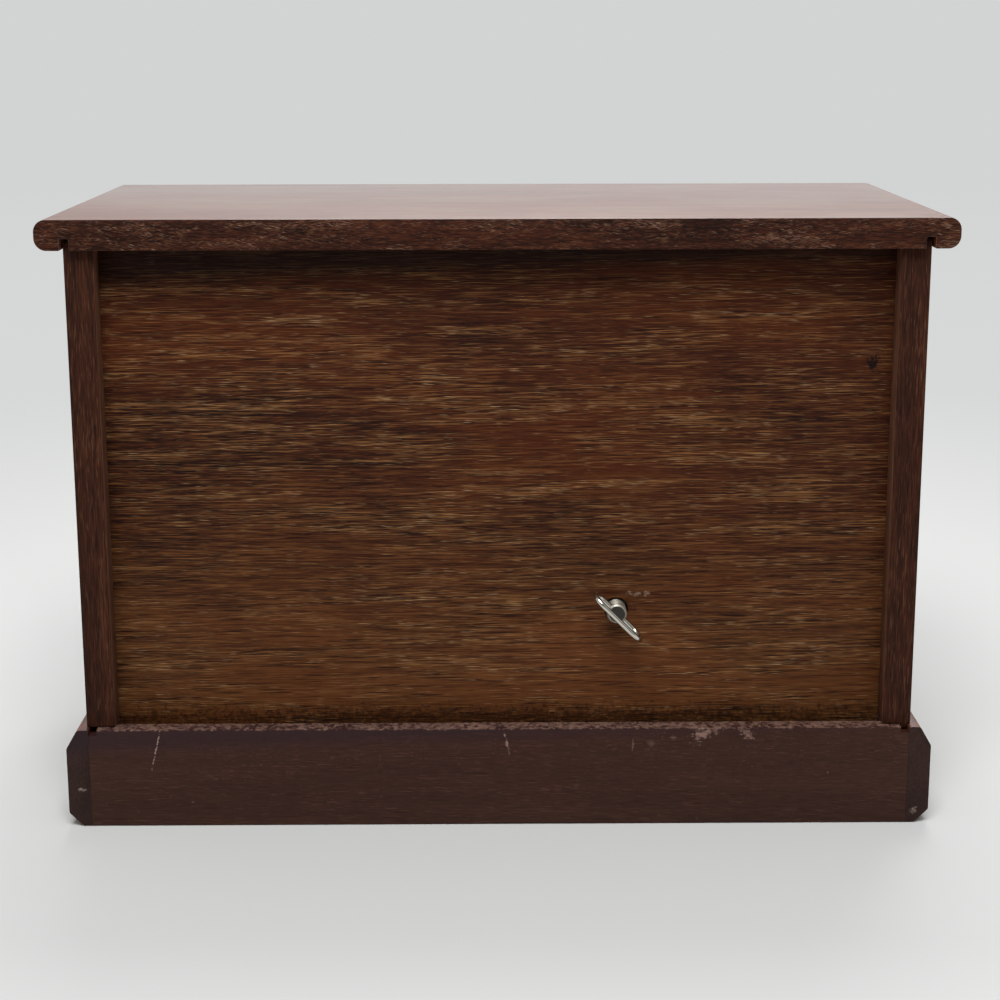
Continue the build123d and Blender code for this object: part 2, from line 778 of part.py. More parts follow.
# Drawn steel cup that holds the mainspring
with BuildPart() as spring_cup:
    with BuildSketch(bed):
        Circle(cup_radius)
    extrude(amount=cup_height)
    with BuildSketch(bed.offset(cup_wall)):
        Circle(cup_radius - cup_wall)
    extrude(amount=cup_height, mode=Mode.SUBTRACT)
    with BuildSketch(bed):
        Circle(arbor_radius + running_play)
    extrude(amount=cup_wall, mode=Mode.SUBTRACT)
write_piece(spring_cup, "spring_cup")

# Mainspring: a flat strip wound from half circles that grow by half a pitch each
spring_shift = spring_pitch / 4
spring_start = arbor_hub_radius + spring_clearance + spring_strip + spring_shift
spring_room = cup_radius - cup_wall - spring_clearance - spring_shift - spring_start
half_turns = int(spring_room / (spring_pitch / 2)) + 1
with BuildPart() as mainspring:
    with BuildSketch(bed.offset((cup_height - spring_width) / 2)):
        for n in range(half_turns):
            middle = spring_shift * (1 if n % 2 else -1)
            radius = spring_start + n * spring_pitch / 2
            start = half_circle * (n % 2)
            with BuildLine():
                outer = CenterArc((middle, 0), radius, start, half_circle)
                inner = CenterArc((middle, 0), radius - spring_strip, start, half_circle)
                Line(outer @ 0, inner @ 0)
                Line(outer @ 1, inner @ 1)
            make_face()
    extrude(amount=spring_width)
write_piece(mainspring, "mainspring")

# Winding arbor: threaded into the key's shank, with a hub for the spring and a front pivot
with BuildPart() as winding_arbor:
    with BuildSketch(bed.offset(-bed_thickness - block_thickness - back_thickness)):
        Circle(arbor_radius)
    extrude(amount=back_thickness + block_thickness + bed_thickness + wheel_top)
    with BuildSketch(bed.offset(cup_wall + running_play)):
        Circle(arbor_hub_radius)
    extrude(amount=cup_height - cup_wall - running_play)
    with BuildSketch(bed.offset(wheel_top)):
        Circle(arbor_pivot_radius)
    extrude(amount=bridge_top - wheel_top + pivot_reach)
write_piece(winding_arbor, "winding_arbor")

# Drive wheel: a disc with upright teeth on its face
half_tooth = half_circle / drive_teeth
with BuildPart() as drive_wheel:
    with BuildSketch(bed.offset(cup_height + drive_disc_gap)):
        Circle(drive_disc_radius)
        Circle(arbor_radius, mode=Mode.SUBTRACT)
    extrude(amount=drive_disc_thickness)
    for n in range(drive_teeth):
        turn = math.radians(half_tooth + n * 360 / drive_teeth)
        out = bed.x_dir * math.cos(turn) + bed.y_dir * math.sin(turn)
        foot = bed.origin + bed.z_dir * wheel_top + out * (drive_pitch_radius - drive_tooth_length / 2)
        with BuildSketch(Plane(origin=foot, x_dir=bed.z_dir.cross(out), z_dir=out)):
            Polygon(
                (-drive_tooth_width / 2, -tooth_sink),
                (drive_tooth_width / 2, -tooth_sink),
                (drive_tooth_tip / 2, drive_tooth_height),
                (-drive_tooth_tip / 2, drive_tooth_height),
                align=None,
            )
        extrude(amount=drive_tooth_length)
write_piece(drive_wheel, "drive_wheel")

# Spring bridge: a bent strip over the drive wheel, with a lug for the cylinder's axle
with BuildPart() as spring_bridge:
    side_view = Plane(
        origin=(key_x + bridge_left, bed_front_y, key_z), x_dir=(0, 0, 1), z_dir=(1, 0, 0)
    )
    reach = bridge_reach + bridge_thickness
    with BuildSketch(side_view):
        rect(-reach, reach, 0, bridge_top)
        rect(-bridge_reach, bridge_reach, 0, bridge_under, Mode.SUBTRACT)
        rect(-reach - bridge_foot, -bridge_reach, 0, bridge_thickness)
        rect(bridge_reach, bed_high - bridge_top_inset, 0, bridge_thickness)
    extrude(amount=bridge_right - bridge_left)
    with BuildSketch(across(bridge_right - bridge_thickness, 0, 0)) as lug:
        rect(-bridge_lug_half, bridge_lug_half, bridge_under, axis_h + bridge_lug_height)
        fillet(lug.vertices().group_by(Axis.Y)[-1], bridge_lug_corner)
    extrude(amount=bridge_thickness)
    with BuildSketch(across(bridge_right - bridge_thickness, 0, axis_h)):
        Circle(axle_radius + running_play)
    extrude(amount=bridge_thickness, mode=Mode.SUBTRACT)
    with BuildSketch(bed.offset(bridge_under)):
        Circle(arbor_pivot_radius + running_play)
    extrude(amount=bridge_thickness, mode=Mode.SUBTRACT)
    with BuildSketch(bed):
        with Locations(bridge_screw_place):
            screw_outline(small_screw_radius)
    extrude(amount=bridge_thickness, mode=Mode.SUBTRACT)
write_piece(spring_bridge, "spring_bridge")

# Cylinder: axle, drum with its pins, drive pinion and wheel
with BuildPart() as cylinder_axle:
    axle_start = bridge_right - bridge_thickness - end_play
    with BuildSketch(across(axle_start, 0, axis_h)):
        Circle(axle_radius)
    extrude(amount=frame_left + frame_wall + end_play - axle_start)
write_piece(cylinder_axle, "cylinder_axle")

with BuildPart() as pin_drum:
    with BuildSketch(across(drum_start, 0, axis_h)):
        Circle(drum_radius)
    extrude(amount=drum_end - drum_start)
    for note in range(notes):
        with BuildSketch(across(first_note + note * note_pitch - pin_size / 2, 0, axis_h)):
            for k in range(pins_per_note):
                tune_turn = note_turn * note + tune_step * ((note * k) % tune_beats)
                turn = math.radians(360 / pins_per_note * k + tune_turn)
                reach = drum_radius + (pin_height - pin_sink) / 2
                with Locations((reach * math.cos(turn), reach * math.sin(turn))):
                    Rectangle(pin_height + pin_sink, pin_size, rotation=math.degrees(turn))
        extrude(amount=pin_size)
    with BuildSketch(across(drum_start, 0, axis_h)):
        Circle(axle_radius)
    extrude(amount=drum_end - drum_start, mode=Mode.SUBTRACT)
write_piece(pin_drum, "pin_drum")

with BuildPart() as cylinder_pinion:
    with BuildSketch(across(drive_pitch_radius - drive_tooth_length / 2, 0, axis_h)):
        gear_outline(
            cylinder_teeth, pinion_radius - coarse_dedendum, pinion_radius + coarse_addendum,
            coarse_tooth_root, coarse_tooth_tip, -90,
        )
        Circle(axle_radius, mode=Mode.SUBTRACT)
    extrude(amount=drive_tooth_length)
write_piece(cylinder_pinion, "cylinder_pinion")

with BuildPart() as cylinder_wheel:
    with BuildSketch(across(wheel_start, 0, axis_h)):
        gear_outline(
            wheel_teeth, wheel_radius - fine_dedendum, wheel_radius + fine_addendum,
            fine_tooth_root, fine_tooth_tip, pinion_direction,
        )
        Circle(axle_radius, mode=Mode.SUBTRACT)
    extrude(amount=wheel_thickness)
write_piece(cylinder_wheel, "cylinder_wheel")

# Comb: a thick foot and 18 teeth, sawn along a slant so that the low notes are longer
with BuildPart() as comb:
    with BuildSketch(bed.offset(comb_seat_h)):
        rect(comb_left, comb_right, comb_low, comb_base_top)
    extrude(amount=comb_base_thickness)
    with BuildSketch(bed.offset(axis_h - comb_tooth_thickness / 2)):
        rect(comb_left, comb_right, comb_base_top - comb_tooth_thickness, comb_tip)
    extrude(amount=comb_tooth_thickness)
    with BuildSketch(bed.offset(axis_h - comb_tooth_thickness)):
        for cut in range(1, notes):
            slot_x = comb_left + cut * note_pitch
            slot_low = comb_base_top + comb_slot_start + comb_slot_slant * cut / notes
            rect(slot_x - comb_slot / 2, slot_x + comb_slot / 2, slot_low, comb_tip)
    extrude(amount=2 * comb_tooth_thickness, mode=Mode.SUBTRACT)
    with BuildSketch(bed.offset(comb_seat_h)):
        with Locations(*comb_screw_places):
            screw_outline(small_screw_radius)
    extrude(amount=comb_base_thickness, mode=Mode.SUBTRACT)
write_piece(comb, "comb")

# Governor frame: two cheeks, a foot and a bridge over the fan, with the lever's pin
with BuildPart() as governor_frame:
    cheek_top = governor_h + cheek_margin
    foot_low = worm_w - frame_foot_reach
    post = (worm_u - frame_post_half, worm_u + frame_post_half)
    for cheek_u in (frame_left, frame_right - frame_wall):
        with BuildSketch(across(cheek_u, 0, 0)):
            rect(foot_low, frame_high, 0, cheek_top)
        extrude(amount=frame_wall)
    with BuildSketch(across(frame_left, 0, 0)):
        rect(-bridge_lug_half, frame_high, cheek_top - frame_wall, axis_h + bridge_lug_height)
    extrude(amount=frame_wall)
    with BuildSketch(bed):
        rect(frame_left, frame_right, foot_low, frame_high)
    extrude(amount=frame_wall)
    with BuildSketch(bed):
        rect(*post, foot_low, foot_low + frame_wall)
    extrude(amount=frame_front + frame_wall)
    with BuildSketch(bed.offset(frame_front)):
        rect(*post, foot_low, worm_w + frame_post_half)
    extrude(amount=frame_wall)
    with BuildSketch(across(frame_left, 0, axis_h)):
        Circle(axle_radius + running_play)
    extrude(amount=frame_wall, mode=Mode.SUBTRACT)
    with BuildSketch(across(frame_left, governor_w, governor_h)):
        Circle(axle_radius + running_play)
    extrude(amount=frame_right - frame_left, mode=Mode.SUBTRACT)
    with BuildSketch(bed):
        with Locations((worm_u, worm_w)):
            Circle(spindle_radius + running_play)
    extrude(amount=frame_front + frame_wall, mode=Mode.SUBTRACT)
    with BuildSketch(across(frame_right, lever_w, lever_h)):
        Circle(lever_pin_radius)
    extrude(amount=lever_pin_length)
write_piece(governor_frame, "governor_frame")

# Governor wheel: axle, pinion and slanted worm teeth in one piece
slant = math.degrees(math.atan(worm_lead / (2 * math.pi * worm_pitch_radius)))
with BuildPart() as governor_wheel:
    wheel_face = across(worm_u - worm_wheel_thickness / 2, governor_w, governor_h)
    with BuildSketch(wheel_face):
        RegularPolygon(worm_wheel_radius - worm_wheel_dedendum, worm_wheel_teeth)
    extrude(amount=worm_wheel_thickness)
    for n in range(worm_wheel_teeth):
        turn = math.radians(half_circle + n * 360 / worm_wheel_teeth)
        out = Vector(0, -math.sin(turn), math.cos(turn))
        along = Vector(0, -math.cos(turn), -math.sin(turn))
        lean = Vector(1, 0, 0) + along * math.tan(math.radians(slant))
        centre = Vector(key_x + worm_u, bed_front_y - governor_h, key_z + governor_w)
        tooth_plane = Plane(origin=centre, x_dir=out, z_dir=lean)
        with BuildSketch(tooth_plane):
            tooth_low = worm_wheel_radius - worm_wheel_dedendum - tooth_sink
            tooth_high = worm_wheel_radius + worm_wheel_addendum
            Polygon(
                (tooth_low, -worm_tooth_root / 2),
                (tooth_high, -worm_tooth_tip / 2),
                (tooth_high, worm_tooth_tip / 2),
                (tooth_low, worm_tooth_root / 2),
            )
        extrude(amount=worm_wheel_thickness, both=True)
    with BuildSketch(wheel_face):
        Circle(worm_wheel_radius + 2 * worm_wheel_addendum)
    extrude(amount=worm_wheel_thickness, mode=Mode.INTERSECT)
    with BuildSketch(across(wheel_start, governor_w, governor_h)):
        gear_outline(
            pinion_teeth, governor_radius - fine_dedendum, governor_radius + fine_addendum,
            fine_tooth_root, fine_tooth_tip,
            pinion_direction - half_circle + half_circle / pinion_teeth,
        )
    extrude(amount=wheel_thickness)
    with BuildSketch(across(wheel_start, governor_w, governor_h)):
        Circle(axle_radius)
    extrude(amount=frame_right + pivot_reach - wheel_start)
write_piece(governor_wheel, "governor_wheel")

# Worm spindle: a two-start worm, which is an oval section turned a step at a time as it
# rises, with a pair of flat facets between neighbouring corners
worm_low = governor_h - worm_length / 2
worm_steps = round(worm_length / worm_lead * worm_steps_per_turn)
worm_rings = []
for step in range(worm_steps + 1):
    rise = worm_length * step / worm_steps
    twist = 2 * math.pi * (rise - worm_length / 2) / worm_lead
    ring = []
    for corner in range(worm_sides):
        turn = 2 * math.pi * corner / worm_sides
        long_way = worm_tip_radius * math.cos(turn)
        short_way = worm_root_radius * math.sin(turn)
        u = worm_u + long_way * math.cos(twist) - short_way * math.sin(twist)
        w = worm_w + long_way * math.sin(twist) + short_way * math.cos(twist)
        ring.append(bed.from_local_coords(Vector(u, w, worm_low + rise)))
    worm_rings.append(ring)
worm_facets = [Face(Wire.make_polygon(ring)) for ring in (worm_rings[0], worm_rings[-1])]
for lower, upper in zip(worm_rings, worm_rings[1:]):
    for corner in range(worm_sides):
        after = (corner + 1) % worm_sides
        worm_facets.append(
            Face(Wire.make_polygon((lower[corner], lower[after], upper[after])))
        )
        worm_facets.append(
            Face(Wire.make_polygon((lower[corner], upper[after], upper[corner])))
        )
worm_body = Solid(Shell(worm_facets))
with BuildPart() as fan_spindle:
    add(worm_body)
    with BuildSketch(bed.offset(spindle_end_gap)):
        with Locations((worm_u, worm_w)):
            Circle(spindle_radius)
    extrude(amount=frame_front + frame_wall - 2 * spindle_end_gap)
write_piece(fan_spindle, "fan_spindle")

# Fan: two thin wings on a hub
with BuildPart() as fan_vane:
    with BuildSketch(bed.offset(fan_base)):
        with Locations((worm_u, worm_w)):
            Rectangle(2 * fan_radius, fan_thickness)
            Circle(spindle_radius + fan_hub_wall)
            Circle(spindle_radius, mode=Mode.SUBTRACT)
    extrude(amount=fan_height)
write_piece(fan_vane, "fan_vane")

# Stop lever: a hub on the frame's pin, a feeler to the drawer's back and a stop for the fan
feeler_h = bed_front_y - short_back_y - lever_drawer_gap - lever_wire_radius


def lever_point(u, w, h):
    """A point of the movement, right, up and towards the front of the arbor."""
    return Vector(key_x + u, bed_front_y - h, key_z + w)


with BuildPart() as stop_lever:
    with BuildSketch(across(frame_right + lever_hub_gap, lever_w, lever_h)):
        Circle(lever_hub_radius)
        Circle(lever_pin_radius + running_play, mode=Mode.SUBTRACT)
    extrude(amount=lever_hub_length)
    lever_reach = (lever_hub_radius + lever_pin_radius) / 2
    stop_h = fan_base + stop_wire_height
    fan_edge_w = worm_w - fan_radius
    arms = (
        (
            lever_point(lever_u, lever_w + lever_reach, lever_h + lever_start_shift),
            lever_point(lever_u, lever_w + feeler_bend_rise, feeler_h - feeler_bend_set_back),
            lever_point(lever_u, lever_w + feeler_tip_rise, feeler_h),
        ),
        (
            lever_point(lever_u, lever_w + lever_start_shift, lever_h + lever_reach),
            lever_point(lever_u, fan_edge_w + stop_bend_gap, stop_h),
            lever_point(worm_u + stop_tip_past, fan_edge_w - stop_bend_gap, stop_h),
        ),
    )
    for start, bend, end in arms:
        with BuildLine() as wire:
            FilletPolyline(start, bend, end, radius=lever_bend_radius)
        with BuildSketch(Plane(origin=start, z_dir=wire.line % 0)):
            RegularPolygon(lever_wire_radius, lever_wire_sides)
        sweep(path=wire.line)
write_piece(stop_lever, "stop_lever")

# Small machine screws: two in the comb and one in the spring bridge
with BuildPart() as movement_screws:
    head_plane = bed.offset(comb_seat_h + comb_base_thickness)
    with BuildSketch(head_plane):
        with Locations(*comb_screw_places):
            screw_outline(small_head_radius)
    extrude(amount=small_head_height)
    with BuildSketch(head_plane):
        with Locations(*comb_screw_places):
            screw_outline(small_screw_radius)
    extrude(amount=-comb_base_thickness - small_screw_length + screw_tip_gap)
    with BuildSketch(bed.offset(bridge_thickness)):
        with Locations(bridge_screw_place):
            screw_outline(small_head_radius)
    extrude(amount=small_head_height)
    with BuildSketch(bed.offset(bridge_thickness)):
        with Locations(bridge_screw_place):
            screw_outline(small_screw_radius)
    extrude(amount=-bridge_thickness - bed_thickness)
write_piece(movement_screws, "movement_screws")

# Winding key: a shank screwed on to the arbor, and a closed wire loop through it
cross_hole_y = shank_end_y - key_cross_hole_set_in
tilt = math.radians(key_loop_tilt)
loop_across = (math.cos(tilt), 0, math.sin(tilt))
shank_start_y = panel_inner_y - key_shank_in_block
arbor_end_y = bed_front_y + bed_thickness + block_thickness + back_thickness
with BuildPart() as key_shank:
    with BuildSketch(upright(shank_start_y)):
        with Locations((key_x, key_z)):
            Circle(key_shank_radius)
    extrude(amount=-(shank_end_y - shank_start_y))
    chamfer(key_shank.faces().sort_by(Axis.Y)[-1].edges(), key_shank_chamfer)
    with BuildSketch(upright(shank_start_y)):
        with Locations((key_x, key_z)):
            Circle(arbor_radius)
    extrude(amount=-(arbor_end_y - shank_start_y), mode=Mode.SUBTRACT)
    hole_plane = Plane(origin=(key_x, cross_hole_y, key_z), x_dir=(0, 1, 0), z_dir=loop_across)
    with BuildSketch(hole_plane):
        Circle(key_wire_radius + key_wire_play)
    extrude(amount=key_shank_radius + 1, both=True, mode=Mode.SUBTRACT)
write_piece(key_shank, "key_shank")

with BuildPart() as key_loop:
    bend_radius = key_loop_pitch / 2
    straight = key_loop_length / 2 - key_wire_radius - bend_radius
    loop_plane = Plane(
        origin=(key_x, cross_hole_y + bend_radius, key_z), x_dir=loop_across,
        z_dir=(math.sin(tilt), 0, -math.cos(tilt)),
    )
    with BuildLine(loop_plane) as loop_wire:
        near = Line((-straight, -bend_radius), (straight, -bend_radius))
        right_bend = ThreePointArc(near @ 1, (straight + bend_radius, 0), (straight, bend_radius))
        far = Line(right_bend @ 1, (-straight, bend_radius))
        ThreePointArc(far @ 1, (-straight - bend_radius, 0), near @ 0)
    with BuildSketch(Plane(origin=near @ 0, z_dir=near % 0)):
        RegularPolygon(key_wire_radius, key_wire_sides)
    sweep(path=loop_wire.wire())
write_piece(key_loop, "key_loop")
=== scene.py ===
import json
import math

import bmesh
import bpy
from mathutils import Matrix, Vector, noise


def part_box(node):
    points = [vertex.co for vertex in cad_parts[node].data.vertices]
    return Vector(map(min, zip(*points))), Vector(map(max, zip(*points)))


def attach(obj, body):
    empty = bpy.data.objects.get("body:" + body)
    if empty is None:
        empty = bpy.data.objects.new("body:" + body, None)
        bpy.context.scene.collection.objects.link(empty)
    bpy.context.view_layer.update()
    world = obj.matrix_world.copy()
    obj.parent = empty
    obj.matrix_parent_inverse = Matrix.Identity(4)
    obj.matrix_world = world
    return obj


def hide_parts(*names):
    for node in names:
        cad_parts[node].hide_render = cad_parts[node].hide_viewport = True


# The musical jewelry box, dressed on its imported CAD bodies: sanded boards, turned knobs,
# velvet linings, the wire key and the movement's screws and worm
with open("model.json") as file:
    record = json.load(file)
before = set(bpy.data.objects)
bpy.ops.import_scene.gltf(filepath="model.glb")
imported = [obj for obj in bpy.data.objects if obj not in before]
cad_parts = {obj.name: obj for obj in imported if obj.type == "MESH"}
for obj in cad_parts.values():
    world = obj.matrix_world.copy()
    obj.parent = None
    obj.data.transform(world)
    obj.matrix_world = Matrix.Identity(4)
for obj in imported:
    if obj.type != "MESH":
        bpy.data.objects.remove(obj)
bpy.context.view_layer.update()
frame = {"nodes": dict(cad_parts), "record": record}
nodes = frame["nodes"]
bodies = frame["record"]["behaviour"]["bodies"]
body_of = {name: body for body, names in bodies.items() for name in names}

# The frame is in metres. Sizes here are in millimetres, and MM turns them to metres
MM = 0.001
X, Y, Z = 0, 1, 2


# Helpers for materials

def linear(colour):
    """An sRGB hex colour as linear red, green, blue and alpha."""
    parts = [int(colour[i:i + 2], 16) / 255 for i in (0, 2, 4)]
    return [c / 12.92 if c <= 0.04045 else ((c + 0.055) / 1.055) ** 2.4 for c in parts] + [1.0]


def add(tree, kind, inputs=None, stops=None, **settings):
    """Adds a shader node. inputs gives each socket a value or another node's output."""
    made = tree.nodes.new("ShaderNode" + kind)
    for name, value in settings.items():
        setattr(made, name, value)
    for socket, value in (inputs or {}).items():
        if isinstance(value, bpy.types.NodeSocket):
            tree.links.new(value, made.inputs[socket])
        else:
            made.inputs[socket].default_value = value
    if stops:
        marks = made.color_ramp.elements
        while len(marks) < len(stops):
            marks.new(0.5)
        for mark, (place, colour) in zip(marks, stops):
            mark.position = place
            mark.color = linear(colour)
    return made.outputs[0] if made.outputs else made


def new_tree(name):
    """A new material's empty node tree."""
    material = bpy.data.materials.new(name)
    material.use_nodes = True
    material.node_tree.nodes.clear()
    return material, material.node_tree


def grain_noise(tree, place, grain, size, detail=2.0, roughness=0.5, distortion=0.0):
    """Noise drawn out along the grain. size is a mark's length and width in millimetres."""
    length, width = size
    scale = [1 / (width * MM)] * 3
    scale[grain] = 1 / (length * MM)
    stretched = add(tree, "Mapping", {"Vector": place, "Scale": scale})
    return add(tree, "TexNoise", {
        "Vector": stretched, "Scale": 1.0, "Detail": detail, "Roughness": roughness,
        "Distortion": distortion,
    })


def wood_ground(tree, place, grain, tones, sizes, weights):
    """Broad figure, streaks and pores, and the colour they mix to between the tones."""
    figure, streak, pore = sizes
    broad = grain_noise(tree, place, grain, figure, 2.0, 0.5, 0.5)
    lines = grain_noise(tree, place, grain, streak, 4.0, 0.62)
    pores = grain_noise(tree, place, grain, pore)
    mixed = 0.5 - sum(weights) / 2
    for layer, weight in zip((broad, lines, pores), weights):
        mixed = add(tree, "Math", {0: layer, 1: weight, 2: mixed}, operation="MULTIPLY_ADD")
    spread = 0.3
    first = 0.5 - spread / 2
    stops = [(first + spread * n / (len(tones) - 1), tone) for n, tone in enumerate(tones)]
    return broad, lines, pores, add(tree, "ValToRGB", {0: mixed}, stops=stops)


def torn_fibres(tree, place, grain, colour, flecks, patch_size, patch_pull):
    """Flecks along the grain that come and go in patches."""
    patch = grain_noise(tree, place, grain, patch_size, 2.0)
    pull = add(tree, "Math", {0: patch, 1: patch_pull, 2: -patch_pull / 2},
               operation="MULTIPLY_ADD")
    soft_edge = 0.12
    for tone, size, least, strength, turn in flecks:
        slanted = add(tree, "Mapping", {"Vector": place, "Rotation": (0, math.radians(turn), 0)})
        fibre = grain_noise(tree, slanted, grain, size, 1.0, 0.6)
        fibre = add(tree, "Math", {0: fibre, 1: pull}, operation="ADD")
        share = add(tree, "MapRange", {
            "Value": fibre, "From Min": least, "From Max": least + soft_edge, "To Max": strength,
        })
        colour = add(tree, "MixRGB", {0: share, 1: colour, 2: linear(tone)})
    return colour


def paler_growth(tree, height, lines, colour, low, high, tone, strength):
    """Paler streaks below, which fade out between the heights low and high."""
    uneven = 300
    wander = add(tree, "Math", {0: lines, 1: -uneven * MM, 2: height}, operation="MULTIPLY_ADD")
    share = add(tree, "MapRange", {
        "Value": wander, "From Min": (low - uneven / 2) * MM, "From Max": (high - uneven / 2) * MM,
        "To Min": strength, "To Max": 0.0,
    })
    return add(tree, "MixRGB", {0: share, 1: colour, 2: linear(tone)})


def dark_strip(tree, place, height, broad, colour, top, depth, tone):
    """A darker strip under an upper edge, a little lower to one side; on the lauan, a painted
    shadow.
    """
    lean, waver, above, below = 0.03, 3, 4, 2
    side = add(tree, "SeparateXYZ", {0: place}).node.outputs["X"]
    wander = add(tree, "Math", {0: side, 1: lean, 2: height}, operation="MULTIPLY_ADD")
    wander = add(tree, "Math", {0: broad, 1: waver * MM, 2: wander}, operation="MULTIPLY_ADD")
    share = add(tree, "MapRange", {
        "Value": wander, "From Min": (top - depth - below) * MM,
        "From Max": (top - depth + above) * MM, "To Max": 0.75,
    })
    return add(tree, "MixRGB", {0: share, 1: colour, 2: linear(tone)})


def rubbed_edge(tree, place, height, colour, top, depth, tone):
    """Crumbs of bare wood where the stain is rubbed off an upper edge."""
    crumb = 1.7
    crumbs = add(tree, "TexNoise", {
        "Vector": place, "Scale": 1 / (crumb * MM), "Detail": 3.0, "Roughness": 0.7,
    })
    near = add(tree, "MapRange", {
        "Value": height, "From Min": (top - depth) * MM, "From Max": top * MM,
    })
    near = add(tree, "Math", {0: near, 1: 0.3, 2: crumbs}, operation="MULTIPLY_ADD")
    share = add(tree, "MapRange", {
        "Value": near, "From Min": 0.68, "From Max": 0.9, "To Max": 0.75,
    })
    return add(tree, "MixRGB", {0: share, 1: colour, 2: linear(tone)})


def scuffs(tree, place, pores, colour, marks):
    """Single scratches, scuffs and knots with ragged outlines, broken up by the pores."""
    tatter, stray = 1.6, (2.2, 0, 2.2)
    ragged = add(tree, "TexNoise", {
        "Vector": place, "Scale": 1 / (tatter * MM), "Detail": 4.0, "Roughness": 0.7,
    })
    ragged = add(tree, "VectorMath", {0: ragged.node.outputs["Color"], 1: (0.5, 0.5, 0.5)},
                 operation="SUBTRACT")
    for middle, half, turn, tone, strength in marks:
        local = add(tree, "Mapping", {
            "Vector": place, "Location": [m * MM for m in middle],
            "Rotation": (0, math.radians(turn), 0), "Scale": [h * MM for h in half],
        }, vector_type="TEXTURE")
        local = add(tree, "VectorMath", {0: ragged, 1: stray, 2: local}, operation="MULTIPLY_ADD")
        spot = add(tree, "TexGradient", {"Vector": local}, gradient_type="SPHERICAL")
        broken = add(tree, "Math", {0: spot, 1: pores}, operation="MULTIPLY")
        share = add(tree, "MapRange", {
            "Value": broken, "From Min": 0.22, "From Max": 0.44, "To Max": strength,
        })
        colour = add(tree, "MixRGB", {0: share, 1: colour, 2: linear(tone)})
    return colour


def wood(name, grain, tones, figure=(160, 9), streak=(24, 0.9), pore=(6, 0.35),
         weights=(0.35, 0.6, 0.5), tint=None, tint_size=(120, 45), paler=None,
         flecks=(), fleck_patch=(60, 9), patch_pull=0.9, band=None, worn=None, marks=(),
         roughness=0.5, specular=0.3, lacquer=0.0, lacquer_roughness=0.1, relief=0.05):
    """Planed wood: broad figure, grain streaks and pores, all stretched along the grain.

    Sizes are the length and width of one mark in millimetres, and so is relief, the
    depth of the pores. tones runs from the darkest to the lightest. weights says how
    much the figure, the streaks and the pores move the colour between them.
    tint is a colour that warms broad patches. paler is (height, height, colour,
    strength) between which a paler growth fades out. flecks are (colour, size, least
    noise, strength, turn about Y). band is (height, depth, colour) of a darker strip
    under an upper edge, and worn the same of rubbed specks there. marks are (middle,
    half sizes, turn about Y, colour, strength). lacquer is the weight of the coat.
    """
    material, tree = new_tree(name)
    place = add(tree, "TexCoord").node.outputs["Object"]
    height = add(tree, "SeparateXYZ", {0: place}).node.outputs["Z"]
    broad, lines, pores, colour = wood_ground(
        tree, place, grain, tones, (figure, streak, pore), weights
    )
    if tint:
        warm = grain_noise(tree, place, grain, tint_size, 3.0)
        share = add(tree, "MapRange", {
            "Value": warm, "From Min": 0.42, "From Max": 0.64, "To Max": 0.6,
        })
        colour = add(tree, "MixRGB", {0: share, 1: colour, 2: linear(tint)})
    if paler:
        colour = paler_growth(tree, height, lines, colour, *paler)
    if flecks:
        colour = torn_fibres(tree, place, grain, colour, flecks, fleck_patch, patch_pull)
    if band:
        colour = dark_strip(tree, place, height, broad, colour, *band)
    if worn:
        colour = rubbed_edge(tree, place, height, colour, *worn)
    if marks:
        colour = scuffs(tree, place, pores, colour, marks)
    uneven = 0.07
    dull = add(tree, "MapRange", {
        "Value": lines, "From Min": 0.3, "From Max": 0.7,
        "To Min": roughness - uneven, "To Max": roughness + uneven,
    })
    bump = add(tree, "Bump", {"Height": pores, "Strength": 0.6, "Distance": relief * MM})
    surface = add(tree, "BsdfPrincipled", {
        "Base Color": colour, "Roughness": dull, "Normal": bump, "IOR": 1.5,
        "Specular IOR Level": specular, "Coat Weight": lacquer,
        "Coat Roughness": lacquer_roughness, "Coat IOR": 1.5,
    })
    add(tree, "OutputMaterial", {"Surface": surface})
    return material


def metal(name, colour, roughness, uneven=0.06, scratch=(3.0, 0.15), tarnish=None):
    """Worked metal: fine directional marks in its roughness and a little dull tarnish.

    Real tool marks are a few hundredths of a millimetre wide. scratch is the length and
    width at which they are drawn, as coarse as they need to be to show.
    """
    material, tree = new_tree(name)
    place = add(tree, "TexCoord").node.outputs["Object"]
    lines = grain_noise(tree, place, X, scratch)
    tone = linear(colour)
    if tarnish:
        stain = 4
        patches = add(tree, "TexNoise", {"Vector": place, "Scale": 1 / (stain * MM), "Detail": 3.0})
        share = add(tree, "MapRange", {
            "Value": patches, "From Min": 0.5, "From Max": 0.75, "To Max": 0.7,
        })
        tone = add(tree, "MixRGB", {0: share, 1: tone, 2: linear(tarnish)})
    dull = add(tree, "MapRange", {
        "Value": lines, "From Min": 0.3, "From Max": 0.7,
        "To Min": max(roughness - uneven, 0.02), "To Max": roughness + uneven,
    })
    bump = add(tree, "Bump", {"Height": lines, "Strength": 0.3, "Distance": 0.01 * MM})
    surface = add(tree, "BsdfPrincipled", {
        "Base Color": tone, "Metallic": 1.0, "Roughness": dull, "Normal": bump,
    })
    add(tree, "OutputMaterial", {"Surface": surface})
    return material


